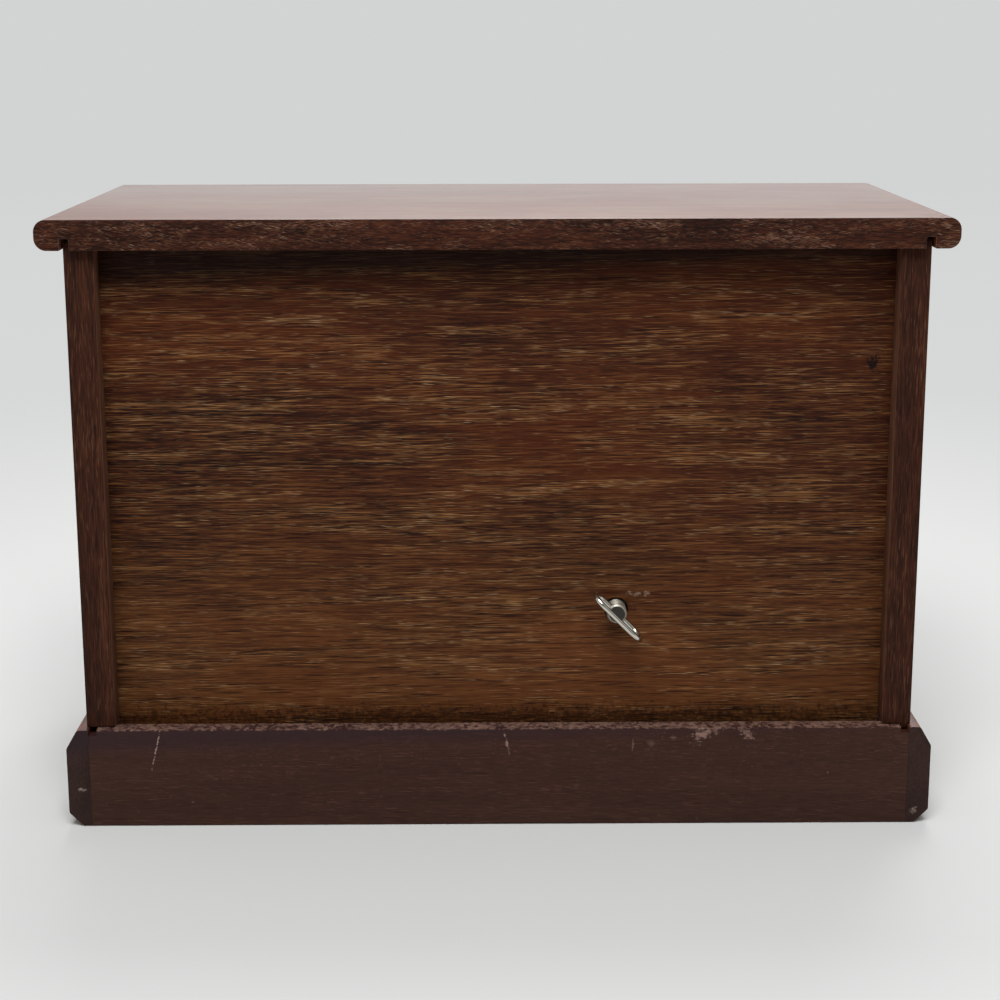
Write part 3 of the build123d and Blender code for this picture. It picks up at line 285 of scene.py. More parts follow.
def velvet(name, colour, brushed):
    """Flocked rayon velvet: a dense upright nap that shines where it is seen edge on.

    A real tuft is about a tenth of a millimetre across. It is drawn at half a
    millimetre, so that the nap shows.
    """
    stroke, tuft = 30, 0.5
    material, tree = new_tree(name)
    place = add(tree, "TexCoord").node.outputs["Object"]
    strokes = add(tree, "TexNoise", {
        "Vector": place, "Scale": 1 / (stroke * MM), "Detail": 2.0, "Distortion": 0.6,
    })
    nap = add(tree, "TexNoise", {"Vector": place, "Scale": 1 / (tuft * MM), "Detail": 2.0})
    share = add(tree, "MapRange", {"Value": strokes, "From Min": 0.35, "From Max": 0.7})
    tone = add(tree, "MixRGB", {0: share, 1: linear(colour), 2: linear(brushed)})
    speck = add(tree, "MapRange", {
        "Value": nap, "From Min": 0.3, "From Max": 0.7, "To Min": 0.72, "To Max": 1.0,
    })
    tone = add(tree, "MixRGB", {0: 1.0, 1: tone, 2: speck}, blend_type="MULTIPLY")
    bump = add(tree, "Bump", {"Height": nap, "Strength": 0.8, "Distance": 0.15 * MM})
    surface = add(tree, "BsdfPrincipled", {
        "Base Color": tone, "Roughness": 0.95, "Normal": bump, "Specular IOR Level": 0.2,
        "Sheen Weight": 0.55, "Sheen Roughness": 0.35, "Sheen Tint": linear("c9707a"),
    })
    add(tree, "OutputMaterial", {"Surface": surface})
    return material


def nylon(name, colour):
    """Moulded nylon: an even waxy surface with faint flow marks."""
    material, tree = new_tree(name)
    place = add(tree, "TexCoord").node.outputs["Object"]
    ripple = 1.5
    flow = add(tree, "TexNoise", {"Vector": place, "Scale": 1 / (ripple * MM), "Detail": 2.0})
    tone = add(tree, "ValToRGB", {0: flow}, stops=((0.3, colour), (0.8, "d8d2c0")))
    bump = add(tree, "Bump", {"Height": flow, "Strength": 0.3, "Distance": 0.03 * MM})
    surface = add(tree, "BsdfPrincipled", {
        "Base Color": tone, "Roughness": 0.42, "Normal": bump, "IOR": 1.53,
    })
    add(tree, "OutputMaterial", {"Surface": surface})
    return material


# Materials

# Where the marks of wear and the painted shade lie, in millimetres: the back faces, the base's
# upper edge, the top's underside, which the panel goes up to and under which a shadow is painted on
# it, and the top's upper face
BASE_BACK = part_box("plinth_back")[1].y / MM
BASE_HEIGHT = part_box("plinth_back")[1].z / MM
PANEL_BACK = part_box("back_panel")[1].y / MM
PANEL_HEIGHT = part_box("top_board")[0].z / MM
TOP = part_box("top_board")[1].z / MM

# Sapele-coloured mahogany under a rubbed lacquer: red-brown with fine dark pores
MAHOGANY = ("24100a", "3b1a10", "502517", "64321f", "78452c")
mahogany = {
    axis: wood(f"mahogany_lacquered_{letter}", axis, MAHOGANY, lacquer=0.5, lacquer_roughness=0.14,
               roughness=0.42)
    for axis, letter in ((X, "x"), (Y, "y"), (Z, "z"))
}
# The top has the thickest lacquer, rubbed to a satin gloss that mirrors the room and
# hides most of the grain. Two fine dark ticks lie behind its middle
top_lacquer = wood("mahogany_top_lacquered", X, ("432012", "562b1a", "683723", "78442c", "865036"),
                   weights=(0.2, 0.26, 0.3), tint="755340", tint_size=(42, 26),
                   lacquer=0.8, lacquer_roughness=0.2, roughness=0.4, specular=0.25, relief=0.02,
                   marks=(((22.7, 34.8, TOP), (5.2, 1.2, 3), 0, "2a1812", 0.9),
                          ((31, 30, TOP), (2.0, 0.9, 3), 0, "2a1812", 0.8)))
# Sawn and only stained: short torn fibres catch the light as pale slanting flecks
sawn_edge = wood("mahogany_edge_sawn", X, ("1a0b07", "27110a", "36190f", "472415"),
                 figure=(60, 8), streak=(8, 0.9), pore=(3, 0.35),
                 flecks=(("5d3a26", (4, 0.4), 0.54, 0.5, 7), ("85634e", (3, 0.28), 0.62, 0.5, -12),
                         ("967a69", (2.6, 0.24), 0.67, 0.65, 14)),
                 fleck_patch=(18, 5), patch_pull=0.4, roughness=0.62, specular=0.1, relief=0.12)
# The base's back board: stained dark, thin lacquer, hardly any figure, rubbed at its top
# edge, with a long scratch and two scuffs
base_stained = wood("mahogany_base_stained", X, ("2a160f", "321b13", "3a2118", "43291d"),
                    figure=(110, 7), streak=(16, 0.7), weights=(0.25, 0.35, 0.4),
                    flecks=(("5f3d33", (6, 0.36), 0.61, 0.45, 2),),
                    fleck_patch=(40, 8), patch_pull=0.3,
                    worn=(BASE_HEIGHT, 0.8, "826558"), band=(BASE_HEIGHT, 3.0, "2a191d"),
                    roughness=0.5, specular=0.14, lacquer=0.06, lacquer_roughness=0.3,
                    marks=(
                        # The long scratch on the left
                        ((124.4, BASE_BACK, 30), (0.6, 3, 13.0), -13, "b49a8e", 0.7),
                        # Two scuffs under the edge
                        ((-74.7, BASE_BACK, 34.6), (9.0, 3, 4.8), 28, "8f7166", 0.7),
                        ((-90.0, BASE_BACK, 34.2), (3.2, 3, 7.0), 40, "8f7166", 0.6),
                        # Two short scratches near the middle
                        ((-3.0, BASE_BACK, 30.2), (0.9, 3, 6.5), 14, "a68679", 0.6),
                        ((-48.5, BASE_BACK, 30.0), (0.8, 3, 4.5), -4, "8a6c60", 0.55),
                        # Small specks, and the edge of the left moulding's knock
                        ((-55.5, BASE_BACK, 30.4), (3.4, 3, 2.6), 0, "6d5449", 0.4),
                        ((-63.2, BASE_BACK, 33.0), (1.8, 3, 1.6), 0, "7f6357", 0.4),
                        ((152.2, BASE_BACK, 13.9), (3.2, 3, 1.4), 6, "a8948a", 0.6),
                        ((112, BASE_BACK, 9), (1.4, 3, 0.6), 0, "94786d", 0.5),
                        ((-120, BASE_BACK, 19), (0.6, 3, 1.6), 15, "94786d", 0.5),
                    ))
# The mouldings' sawn ends: end grain drank the stain and stayed dark and flat, with a
# knock at each corner
base_end = wood("mahogany_end_stained", Z, ("21140f", "291a16", "32211d", "3b2824"),
                figure=(14, 9), streak=(1.6, 0.7), pore=(0.6, 0.4), weights=(0.3, 0.4, 0.4),
                roughness=0.55, specular=0.14, band=(BASE_HEIGHT, 3.0, "261a1f"),
                marks=(((152.2, BASE_BACK, 13.9), (3.2, 3, 1.4), 6, "a8948a", 0.6),
                       ((-152.0, BASE_BACK, 4.5), (3.0, 3, 2.4), 40, "8f7b72", 0.6)))
# Panel edges that took the stain deeply, with the grain upright
panel_edge = wood("mahogany_panel_edge", Z, ("1c0c07", "2a140b", "3a1d11", "4b2a19"),
                  figure=(90, 5), streak=(14, 0.6), weights=(0.25, 0.35, 0.45),
                  flecks=(("6b4632", (6, 0.32), 0.62, 0.5, 0),), patch_pull=0.3,
                  roughness=0.6, specular=0.1, relief=0.08)
# The side panels' inner faces, which took only a thin wash of stain
panel_inside = wood("mahogany_thinly_stained", Z, ("482c21", "573728", "674332", "745040"),
                    figure=(90, 5), streak=(14, 0.6), roughness=0.6, specular=0.1)
# Lauan plywood: rotary-cut veneer, golden under a brown stain, with dense open pores, a
# knot, splinters by the key hole, and painted shade under the top and along the base
lauan = wood("lauan_plywood_stained", X, ("130706", "200c07", "2d1309", "3b1b0c", "4a2712"),
             figure=(190, 7), streak=(16, 0.6), pore=(4.5, 0.3), weights=(0.3, 0.6, 0.75),
             tint="4f230d", tint_size=(120, 46), paler=(20, 130, "84572e", 0.3),
             flecks=(("613b1e", (17, 0.34), 0.535, 0.65, 0.5),
                     ("170805", (14, 0.36), 0.55, 0.85, -0.5),
                     ("835a34", (13, 0.27), 0.59, 0.7, -1),
                     ("a78763", (8, 0.22), 0.65, 0.85, 1)),
             # band: a painted shadow, the shade of the top's overhang along the panel's upper edge
             fleck_patch=(46, 4), patch_pull=0.34, band=(PANEL_HEIGHT, 7.5, "100807"),
             roughness=0.55, specular=0.1, relief=0.12,
             marks=(
                 # The knot, drawn twice so that it stays whole
                 ((-133.0, PANEL_BACK, 168.2), (5.0, 3, 5.4), 0, "120a0a", 1.0),
                 ((-133.2, PANEL_BACK, 167.6), (4.4, 3, 4.6), 30, "120a0a", 1.0),
                 # Splinters at the key hole's edge
                 ((-47.8, PANEL_BACK, 84.0), (2.6, 3, 1.8), 0, "957b68", 0.6),
                 ((-50.6, PANEL_BACK, 83.7), (2.8, 3, 1.9), 0, "957b68", 0.65),
                 ((-53.6, PANEL_BACK, 83.9), (2.4, 3, 1.6), 0, "957b68", 0.6),
                 # Painted shade and some stain in the corner where the panel meets the base
                 ((0, PANEL_BACK, 36.5), (420, 3, 9), 0, "1c0c07", 0.75),
                 # Grime round the key hole
                 ((-44.5, PANEL_BACK, 79.5), (9.0, 3, 8.0), 0, "1c0f0a", 0.5),
             ))
# Sanded basswood, left bare inside the case and on the drawer boxes: pale, even and dull
BASSWOOD = ("94795a", "a98d69", "b69b77", "c3aa88")
basswood = {
    axis: wood(f"basswood_sanded_{letter}", axis, BASSWOOD, roughness=0.68, relief=0.03)
    for axis, letter in ((X, "x"), (Y, "y"), (Z, "z"))
}
# Flocked velvet: dark wine red, brighter where the nap was brushed the other way
wine_velvet = velvet("velvet_flocked_wine", "430813", "550d1a")
# Turned brass, polished and lacquered, so it has kept its colour
brass = metal("brass_turned", "cfae6a", 0.18, tarnish="b08b4c")
# Brass as it comes from the machine: bare, and duller than the knobs
movement_brass = metal("brass_machined", "c4a566", 0.3)
# Bright nickel over steel wire, gone slightly grey with handling
nickel = metal("nickel_plated", "d2cdc2", 0.14, uneven=0.05, tarnish="a39d92")
# The same plating on the knurled shank, rubbed dull
nickel_worn = metal("nickel_plated_dull", "b7b1a5", 0.42, tarnish="8f8a80")
# The shank's cut end, where the plating is thin and dirt stays
nickel_end = metal("nickel_end_soiled", "4a4843", 0.5)
# Blanked spring steel: plain grey with the fine lines of rolling
steel = metal("spring_steel_blank", "9d9c98", 0.34)
# Die-cast zinc: dull grey, with the mould's short pebbly marks
zinc = metal("zinc_cast", "8f9092", 0.5, scratch=(1.0, 0.8))
# Moulded nylon: warm white and waxy
white_nylon = nylon("nylon_moulded", "e9e4d4")


# Shapes

FRONTWARD = Vector((0, -1, 0))
BACKWARD = Vector((0, 1, 0))
# Head radius, head height and shank radius of the two screws, in millimetres
WOOD_SCREW = (2.9, 1.55, 1.4)
MACHINE_SCREW = (1.85, 1.05, 0.92)


def new_piece(name, shape, materials, like, sharp=None):
    """An object from a bmesh with the given materials, riding like the CAD node it stands for,
    which it hides.

    Edges that turn by more than sharp degrees stay sharp, and the rest are smooth.
    """
    mesh = bpy.data.meshes.new(name)
    bmesh.ops.recalc_face_normals(shape, faces=shape.faces)
    shape.to_mesh(mesh)
    shape.free()
    piece = bpy.data.objects.new(name, mesh)
    bpy.context.scene.collection.objects.link(piece)
    for material in materials:
        mesh.materials.append(material)
    for face in mesh.polygons:
        face.use_smooth = True
    if sharp:
        mesh.set_sharp_from_angle(angle=math.radians(sharp))
    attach(piece, body_of[like])
    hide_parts(like)
    return piece


def turned(shape, profile, centre, along, segments=48):
    """Turns (radius, height) points in millimetres about the line through centre."""
    side = along.orthogonal().normalized()
    other = along.cross(side)
    loops = []
    for radius, height in profile:
        middle = centre + along * (height * MM)
        if radius == 0:
            loops.append([shape.verts.new(middle)])
            continue
        loop = []
        for n in range(segments):
            turn = 2 * math.pi * n / segments
            outward = side * math.cos(turn) + other * math.sin(turn)
            loop.append(shape.verts.new(middle + outward * radius * MM))
        loops.append(loop)
    for lower, upper in zip(loops, loops[1:]):
        for n in range(segments):
            after = (n + 1) % segments
            corners = [lower[n % len(lower)], lower[after % len(lower)], upper[after % len(upper)],
                       upper[n % len(upper)]]
            shape.faces.new(list(dict.fromkeys(corners)))


def closed_wire(shape, path, radius, flat, around=24):
    """A round wire bent to a closed loop of points in one plane. flat is its normal."""
    loops = []
    for n, point in enumerate(path):
        along = (path[(n + 1) % len(path)] - path[n - 1]).normalized()
        outward = flat.cross(along)
        loop = []
        for a in range(around):
            turn = 2 * math.pi * a / around
            out = flat * math.cos(turn) + outward * math.sin(turn)
            loop.append(shape.verts.new(point + out * radius))
        loops.append(loop)
    for first, second in zip(loops, loops[1:] + loops[:1]):
        for a in range(around):
            b = (a + 1) % around
            shape.faces.new((first[a], first[b], second[b], second[a]))


def slotted_screw(shape, seat, along, kind, length, turn):
    """A screw with a slotted head on its seat. turn is the slot's, in degrees."""
    head, rise, shank = kind
    pitch = 0.8 if kind == WOOD_SCREW else 0.5
    core, tip = 0.8 * shank, 0.6 * shank
    thread = [(0, -length), (tip, -length)]
    for n in range(int((length - 0.3) / pitch)):
        low = -length + 0.2 + n * pitch
        thread += [(core, low), (shank, low + pitch / 2)]
    thread += [(shank, -0.1), (shank, 0), (0, 0)]
    turned(shape, thread, seat, along, segments=24)
    floor = 0.45 * rise
    edge = 0.12 * rise
    turned(shape, [(0, 0), (head, 0), (head, floor), (0, floor)], seat, along, segments=32)
    side = Matrix.Rotation(math.radians(turn), 3, along) @ along.orthogonal().normalized()
    other = along.cross(side)
    half_slot = 0.16 * head
    points = 13
    for way in (1, -1):
        rings = []
        for radius, height in ((head, floor), (head, rise - edge), (head - edge, rise)):
            start = math.asin(half_slot / radius)
            ring = []
            for n in range(points):
                angle = start + (math.pi - 2 * start) * n / (points - 1)
                flat = (side * math.cos(angle) + other * math.sin(angle) * way) * radius
                ring.append(shape.verts.new(seat + (flat + along * height) * MM))
            rings.append(ring)
        shape.faces.new(rings[-1])
        shape.faces.new(list(reversed(rings[0])))
        for lower, upper in zip(rings, rings[1:]):
            for n in range(points):
                after = (n + 1) % points
                shape.faces.new((lower[n], lower[after], upper[after], upper[n]))


def cut_across(shape, place, normal):
    """Adds a line of edges where a plane passes through the shape."""
    everything = shape.verts[:] + shape.edges[:] + shape.faces[:]
    bmesh.ops.bisect_plane(shape, geom=everything, plane_co=place, plane_no=normal)


def chip_upper_edge(shape, depth):
    """Knocks small chips out of a board's upper back edge, up to depth millimetres."""
    spacing, reach, bite, crumb = 1.3 * MM, 0.6 * MM, 3.5 * MM, 1.1 * MM
    ends = [corner.co.x for corner in shape.verts]
    low, high = min(ends), max(ends)
    back = max(corner.co.y for corner in shape.verts)
    top = max(corner.co.z for corner in shape.verts)
    steps = int((high - low) / spacing)
    for n in range(1, steps):
        cut_across(shape, (low + (high - low) * n / steps, 0, 0), (1, 0, 0))
    for corner in shape.verts:
        if corner.co.y < back - reach or corner.co.z < top - reach:
            continue
        if low + MM < corner.co.x < high - MM:
            chance = noise.noise(Vector((corner.co.x / bite, 1.7, 0)))
            chance += 0.5 * noise.noise(Vector((corner.co.x / crumb, 5.3, 0)))
            knocked = min(max(chance + 0.1, 0), 1) * depth * MM
            corner.co.y -= knocked
            corner.co.z -= 0.7 * knocked


def worked_board(name, materials, arris, choose=None, wipe=None, chips=None):
    """A board as the joiner leaves it: the CAD shape with its sharp edges sanded off.

    choose(middle, normal) gives the number of a face's material. arris is the width of
    the sanded edge, wipe how far back from the front the stain was wiped, and chips how
    deep the upper back edge is chipped, in millimetres.
    """
    shape = bmesh.new()
    shape.from_mesh(nodes[name].data)
    bmesh.ops.remove_doubles(shape, verts=shape.verts, dist=1e-6)
    bmesh.ops.dissolve_limit(
        shape, angle_limit=math.radians(0.5), verts=shape.verts, edges=shape.edges
    )
    if wipe:
        front = min(corner.co.y for corner in shape.verts)
        cut_across(shape, (0, front + wipe * MM, 0), (0, 1, 0))
    sharp = [edge for edge in shape.edges
             if len(edge.link_faces) == 2 and edge.calc_face_angle() > math.radians(30)]
    bmesh.ops.bevel(
        shape, geom=sharp, offset=arris * MM, segments=2, profile=0.6, affect="EDGES",
        clamp_overlap=True,
    )
    if chips:
        chip_upper_edge(shape, chips)
    if choose:
        for face in shape.faces:
            face.material_index = choose(face.calc_center_median(), face.normal)
    new_piece(f"{name}_worked", shape, materials, name, sharp=35)


def dress(name, material):
    """A CAD node keeps its shape and takes a better material."""
    for place in nodes[name].material_slots:
        place.material = material


# Case

WIPED = 9  # how far back from the front the stain was wiped, in millimetres
front_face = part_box("shelf_upper")[0].y


def sawn_back(middle, normal):
    """The second material on the face that looks to the back."""
    return 1 if normal.y > 0.9 else 0


def top_faces(middle, normal):
    """The top's sawn back edge, and its underside without the thick lacquer."""
    return 1 if normal.y > 0.9 else (2 if normal.z < -0.5 else 0)


def side_faces(middle, normal):
    """A side panel's back edge, and its face towards the inside of the case."""
    inward = middle.x * normal.x < -0.9 * abs(middle.x)
    return 1 if normal.y > 0.9 else (2 if inward else 0)


def stained_front(middle, normal):
    """Stain near the front, and bare wood behind it."""
    return 0 if middle.y < front_face + WIPED * MM else 1


worked_board("top_board", [top_lacquer, sawn_edge, mahogany[X]], arris=0.4, choose=top_faces)
for side in ("left", "right"):
    worked_board(f"side_panel_{side}", [mahogany[Z], panel_edge, panel_inside], arris=0.4,
                 choose=side_faces)
    worked_board(f"plinth_{side}", [mahogany[Y], base_end], arris=0.15, choose=sawn_back)
worked_board("back_panel", [lauan], arris=0.15)
worked_board("plinth_front", [mahogany[X]], arris=0.3)
worked_board("plinth_back", [base_stained], arris=0.15, chips=0.9)
for name, grain, bare in (("shelf_lower", X, X), ("shelf_upper", X, X), ("partition_upper", Z, Y)):
    worked_board(name, [mahogany[grain], basswood[bare]], arris=0.3, choose=stained_front,
                 wipe=WIPED)
for name in ("bottom_panel", "bearer_front", "bearer_back", "drawer_stops", "movement_block"):
    dress(name, basswood[X])
for name in ("bearer_left", "bearer_right"):
    dress(name, base_stained)


# Drawers

ROWS = ("lower", "middle", "upper_left", "upper_right")
# A turned knob's (radius, height): short foot, waist, flare, a bead under the rim, low dome
KNOB = ((0, 0), (3.0, 0), (2.95, 0.5), (2.6, 1.0), (2.35, 2.0), (2.5, 3.0), (3.1, 4.1), (4.1, 5.5),
        (4.95, 6.7), (5.3, 7.1), (5.35, 7.5), (5.6, 7.7), (5.92, 8.3), (5.98, 9.0), (5.9, 9.8),
        (5.55, 10.6), (4.8, 11.3), (3.6, 11.9), (2.0, 12.35), (0, 12.5))


def knobs_and_screws(drawer):
    """Turned knobs in place of the CAD's plain ones, with slotted screws from inside."""
    low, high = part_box(f"{drawer}_knobs")
    reach = (high.z - low.z) / 2
    height = (high.z + low.z) / 2
    middles = sorted({round(low.x + reach, 5), round(high.x - reach, 5)})
    knobs, screws = bmesh.new(), bmesh.new()
    cad_head = 1.6 * MM
    inner_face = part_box(f"{drawer}_knob_screws")[1].y - cad_head
    for n, x in enumerate(middles):
        turned(knobs, KNOB, Vector((x, high.y, height)), FRONTWARD)
        seat = Vector((x, inner_face, height))
        slotted_screw(screws, seat, BACKWARD, WOOD_SCREW, length=13, turn=30 + 50 * n)
    new_piece(f"{drawer}_knobs_turned", knobs, [brass], f"{drawer}_knobs", sharp=40)
    new_piece(f"{drawer}_screws_slotted", screws, [steel], f"{drawer}_knob_screws", sharp=35)


for row in ROWS:
    drawer = f"drawer_{row}"
    worked_board(f"{drawer}_front", [mahogany[X], basswood[X]], arris=0.4, choose=sawn_back)
    worked_board(f"{drawer}_box", [basswood[Y]], arris=0.4)
    knobs_and_screws(drawer)


def round_corner_outline(low, high, inset, radius, step):
    """Points round a rectangle that is drawn in by inset, with round corners."""
    corner = max(radius - inset, 0.2 * MM)
    x0, x1 = low.x + inset, high.x - inset
    y0, y1 = low.y + inset, high.y - inset
    across = max(int((high.x - low.x) / step), 4)
    along = max(int((high.y - low.y) / step), 4)
    bends = 5
    points = []
    sides = (
        (Vector((x0 + corner, y0)), Vector((x1 - corner, y0)), across, -90),
        (Vector((x1, y0 + corner)), Vector((x1, y1 - corner)), along, 0),
        (Vector((x1 - corner, y1)), Vector((x0 + corner, y1)), across, 90),
        (Vector((x0, y1 - corner)), Vector((x0, y0 + corner)), along, 180),
    )
    inward = (Vector((0, 1)), Vector((-1, 0)), Vector((0, -1)), Vector((1, 0)))
    for (start, end, count, angle), into in zip(sides, inward):
        for n in range(count):
            points.append(start.lerp(end, n / count))
        middle = end + into * corner
        for n in range(bends):
            turn = math.radians(angle + 90 * n / bends)
            points.append(middle + corner * Vector((math.cos(turn), math.sin(turn))))
    return points


def velvet_lining(name):
    """A tray of velvet over card, with a padded floor and soft inside corners."""
    low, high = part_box(name)
    skin, edge, corner, fold = 1.2 * MM, 0.35 * MM, 3 * MM, 2.2 * MM
    slack = 0.05 * MM
    step = 4 * MM
    puff, ramp = 0.7 * MM, 14 * MM
    sag, dimple = 0.25 * MM, 19 * MM
    floor = low.z + skin
    reach = min(high.x - low.x, high.y - low.y) / 2 - skin
    # Each ring is (inset, height): up the outside, over the rim, down inside and inwards
    rings = [(slack, low.z + slack), (slack, high.z - edge), (edge, high.z),
             (skin - edge, high.z), (skin, high.z - edge)]
    wall_steps = max(int((high.z - floor) / step), 3)
    for n in range(1, wall_steps + 1):
        rings.append((skin, high.z - edge + (floor + fold - high.z + edge) * n / wall_steps))
    for n in range(1, 5):
        turn = math.radians(90 * n / 4)
        rings.append((skin + fold * (1 - math.cos(turn)), floor + fold * (1 - math.sin(turn))))
    inset = skin + fold
    while inset < reach - 0.6 * step:
        inset += min(step, reach - inset)
        rings.append((min(inset, reach - 0.3 * MM), floor))
    shape = bmesh.new()
    loops = []
    for inset, height in rings:
        loop = []
        for point in round_corner_outline(low, high, inset, corner + skin, step):
            z = height
            if inset > skin + 0.5 * fold:
                share = min((inset - skin) / ramp, 1.0)
                z += puff * (share * share * (3 - 2 * share))
                z += sag * share * noise.noise(Vector((point.x, point.y, low.z)) / dimple)
            loop.append(shape.verts.new((point.x, point.y, z)))
        loops.append(loop)
    count = len(loops[0])
    for outer, inner in zip(loops, loops[1:]):
        for n in range(count):
            after = (n + 1) % count
            shape.faces.new((outer[n], outer[after], inner[after], inner[n]))
    shape.faces.new(loops[-1])
    shape.faces.new(list(reversed(loops[0])))
    lining = new_piece(f"{name}_velvet", shape, [wine_velvet], name, sharp=60)


for row in ROWS:
    velvet_lining(f"drawer_{row}_lining")


def settle(piece):
    """Applies a piece's modifiers to its mesh."""
    view = bpy.context.evaluated_depsgraph_get()
    mesh = bpy.data.meshes.new_from_object(piece.evaluated_get(view))
    piece.modifiers.clear()
    piece.data = mesh


def stuffed(piece, voxel, cap, growth, sewn_below):
    """Swells a padded piece as cloth round its stuffing. No point moves further than cap."""
    pressure, last_frame = 4.0, 20
    even = piece.modifiers.new("even_mesh", "REMESH")
    even.mode = "VOXEL"
    even.voxel_size = voxel
    even.use_smooth_shade = True
    settle(piece)
    start = [vertex.co.copy() for vertex in piece.data.vertices]
    sewn = piece.vertex_groups.new(name="sewn_down")
    sewn.add([n for n, point in enumerate(start) if point.z < sewn_below], 1.0, "REPLACE")
    cloth = piece.modifiers.new("cloth", "CLOTH")
    cloth.settings.quality = 6
    cloth.settings.use_pressure = True
    cloth.settings.uniform_pressure_force = pressure
    cloth.settings.shrink_min = -growth
    cloth.settings.vertex_group_mass = sewn.name
    cloth.settings.effector_weights.gravity = 0
    for frame_number in range(1, last_frame + 1):
        bpy.context.scene.frame_set(frame_number)
    settle(piece)
    for vertex, first in zip(piece.data.vertices, start):
        move = vertex.co - first
        if move.length > cap:
            vertex.co = first + move * (cap / move.length)


def ring_roll_pads():
    """Seven padded velvet rolls side by side, gathered a little at both ends."""
    name = "ring_rolls"
    low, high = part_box(name)
    rolls, pitch, first_roll = 7, 16.4 * MM, 8 * MM
    pleat_depth, wave_height, wave_length = 0.14 * MM, 0.22 * MM, 9 * MM
    gather, waist = 4.5 * MM, 0.72
    seat, clear = 0.15 * MM, 0.05 * MM
    # Room for the cloth to swell into. Without the cloth the pads start at their full size
    slack = 0.8 * MM
    half = 7.9 * MM - slack
    rise = (high.z - low.z) - seat - clear - slack
    shape = bmesh.new()
    around, stations = 20, 44
    for roll in range(rolls):
        middle_y = high.y - first_roll - roll * pitch
        loops = []
        for s in range(stations + 1):
            share = s / stations
            x = low.x + (high.x - low.x) * share
            end = min(share, 1 - share) * (high.x - low.x) / gather
            full = waist + (1 - waist) * math.sin(min(end, 1.0) * math.pi / 2)
            loop = []
            for a in range(around):
                turn = 2 * math.pi * a / around
                y = math.copysign(abs(math.cos(turn)) ** 0.75, math.cos(turn)) * half * full
                z = math.copysign(abs(math.sin(turn)) ** 0.85, math.sin(turn))
                z = low.z + seat + rise * (0.5 + 0.5 * z * full)
                pleat = pleat_depth * math.sin(9 * turn + roll) * max(1 - end / 2, 0)
                wave = wave_height * noise.noise(Vector((x / wave_length, turn, roll * 3.1)))
                outward = Vector((0, math.cos(turn), math.sin(turn)))
                point = Vector((x, middle_y + y, z)) + outward * (pleat + wave)
                point.z = max(point.z, low.z + clear)
                loop.append(shape.verts.new(point))
            loops.append(loop)
        for outer, inner in zip(loops, loops[1:]):
            for a in range(around):
                b = (a + 1) % around
                shape.faces.new((outer[a], outer[b], inner[b], inner[a]))
        shape.faces.new(list(reversed(loops[0])))
        shape.faces.new(loops[-1])
    pads = new_piece("ring_roll_pads", shape, [wine_velvet], name)
    stuffed(pads, voxel=1.8 * MM, cap=slack, growth=0.05, sewn_below=low.z + 1.5 * MM)
    round_off = pads.modifiers.new("round_off", "SUBSURF")
    round_off.levels = 1
    round_off.render_levels = 1


ring_roll_pads()


# Winding key: a knurled shank and a closed loop of bright wire through it

def winding_key():
    """The key's turned and knurled shank, and its loop bent from one wire."""
    low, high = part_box("key_shank")
    middle = (low + high) / 2
    radius = (high.x - low.x) / 2 / MM
    length = (high.y - low.y) / MM
    ridge, crest, foot, groove = 0.62, 0.34, 0.48, 0.12
    profile = [(0, 0), (radius - 0.4, 0), (radius, 0.4)]
    height = 0.6
    while height < length - 1.6:
        profile += [(radius, height), (radius, height + crest), (radius - groove, height + foot)]
        height += ridge
    profile += [(radius, height), (radius, length - 0.55), (radius - 0.5, length)]
    profile += [(radius - 0.7, length), (radius - 0.75, length - 0.08), (0, length - 0.08)]
    shape = bmesh.new()
    turned(shape, profile, Vector((middle.x, low.y, middle.z)), BACKWARD, segments=64)
    cut_end = high.y - 0.2 * MM
    for face in shape.faces:
        out = max((v.co - Vector((middle.x, v.co.y, middle.z))).length for v in face.verts)
        if face.calc_center_median().y > cut_end and out < (radius - 0.6) * MM:
            face.material_index = 1
    new_piece("key_shank_knurled", shape, [nickel_worn, nickel_end], "key_shank", sharp=30)

    low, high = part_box("key_loop")
    middle = (low + high) / 2
    wire, half_length = 1.0 * MM, 12.5 * MM
    bend = (high.y - low.y) / 2 - wire
    straight = half_length - wire - bend
    across = Vector((1, 0, 1)).normalized()
    path = []
    along_steps, bend_steps = 12, 20
    for way in (1, -1):
        for n in range(along_steps):
            out = straight * (2 * n / along_steps - 1)
            path.append(middle + way * (across * out - BACKWARD * bend))
        for n in range(bend_steps):
            turn = math.pi * n / bend_steps
            out = straight + bend * math.sin(turn)
            path.append(middle + way * (across * out - BACKWARD * bend * math.cos(turn)))
    shape = bmesh.new()
    closed_wire(shape, path, wire, across.cross(BACKWARD))
    new_piece("key_loop_wire", shape, [nickel], "key_loop")


winding_key()


# Movement

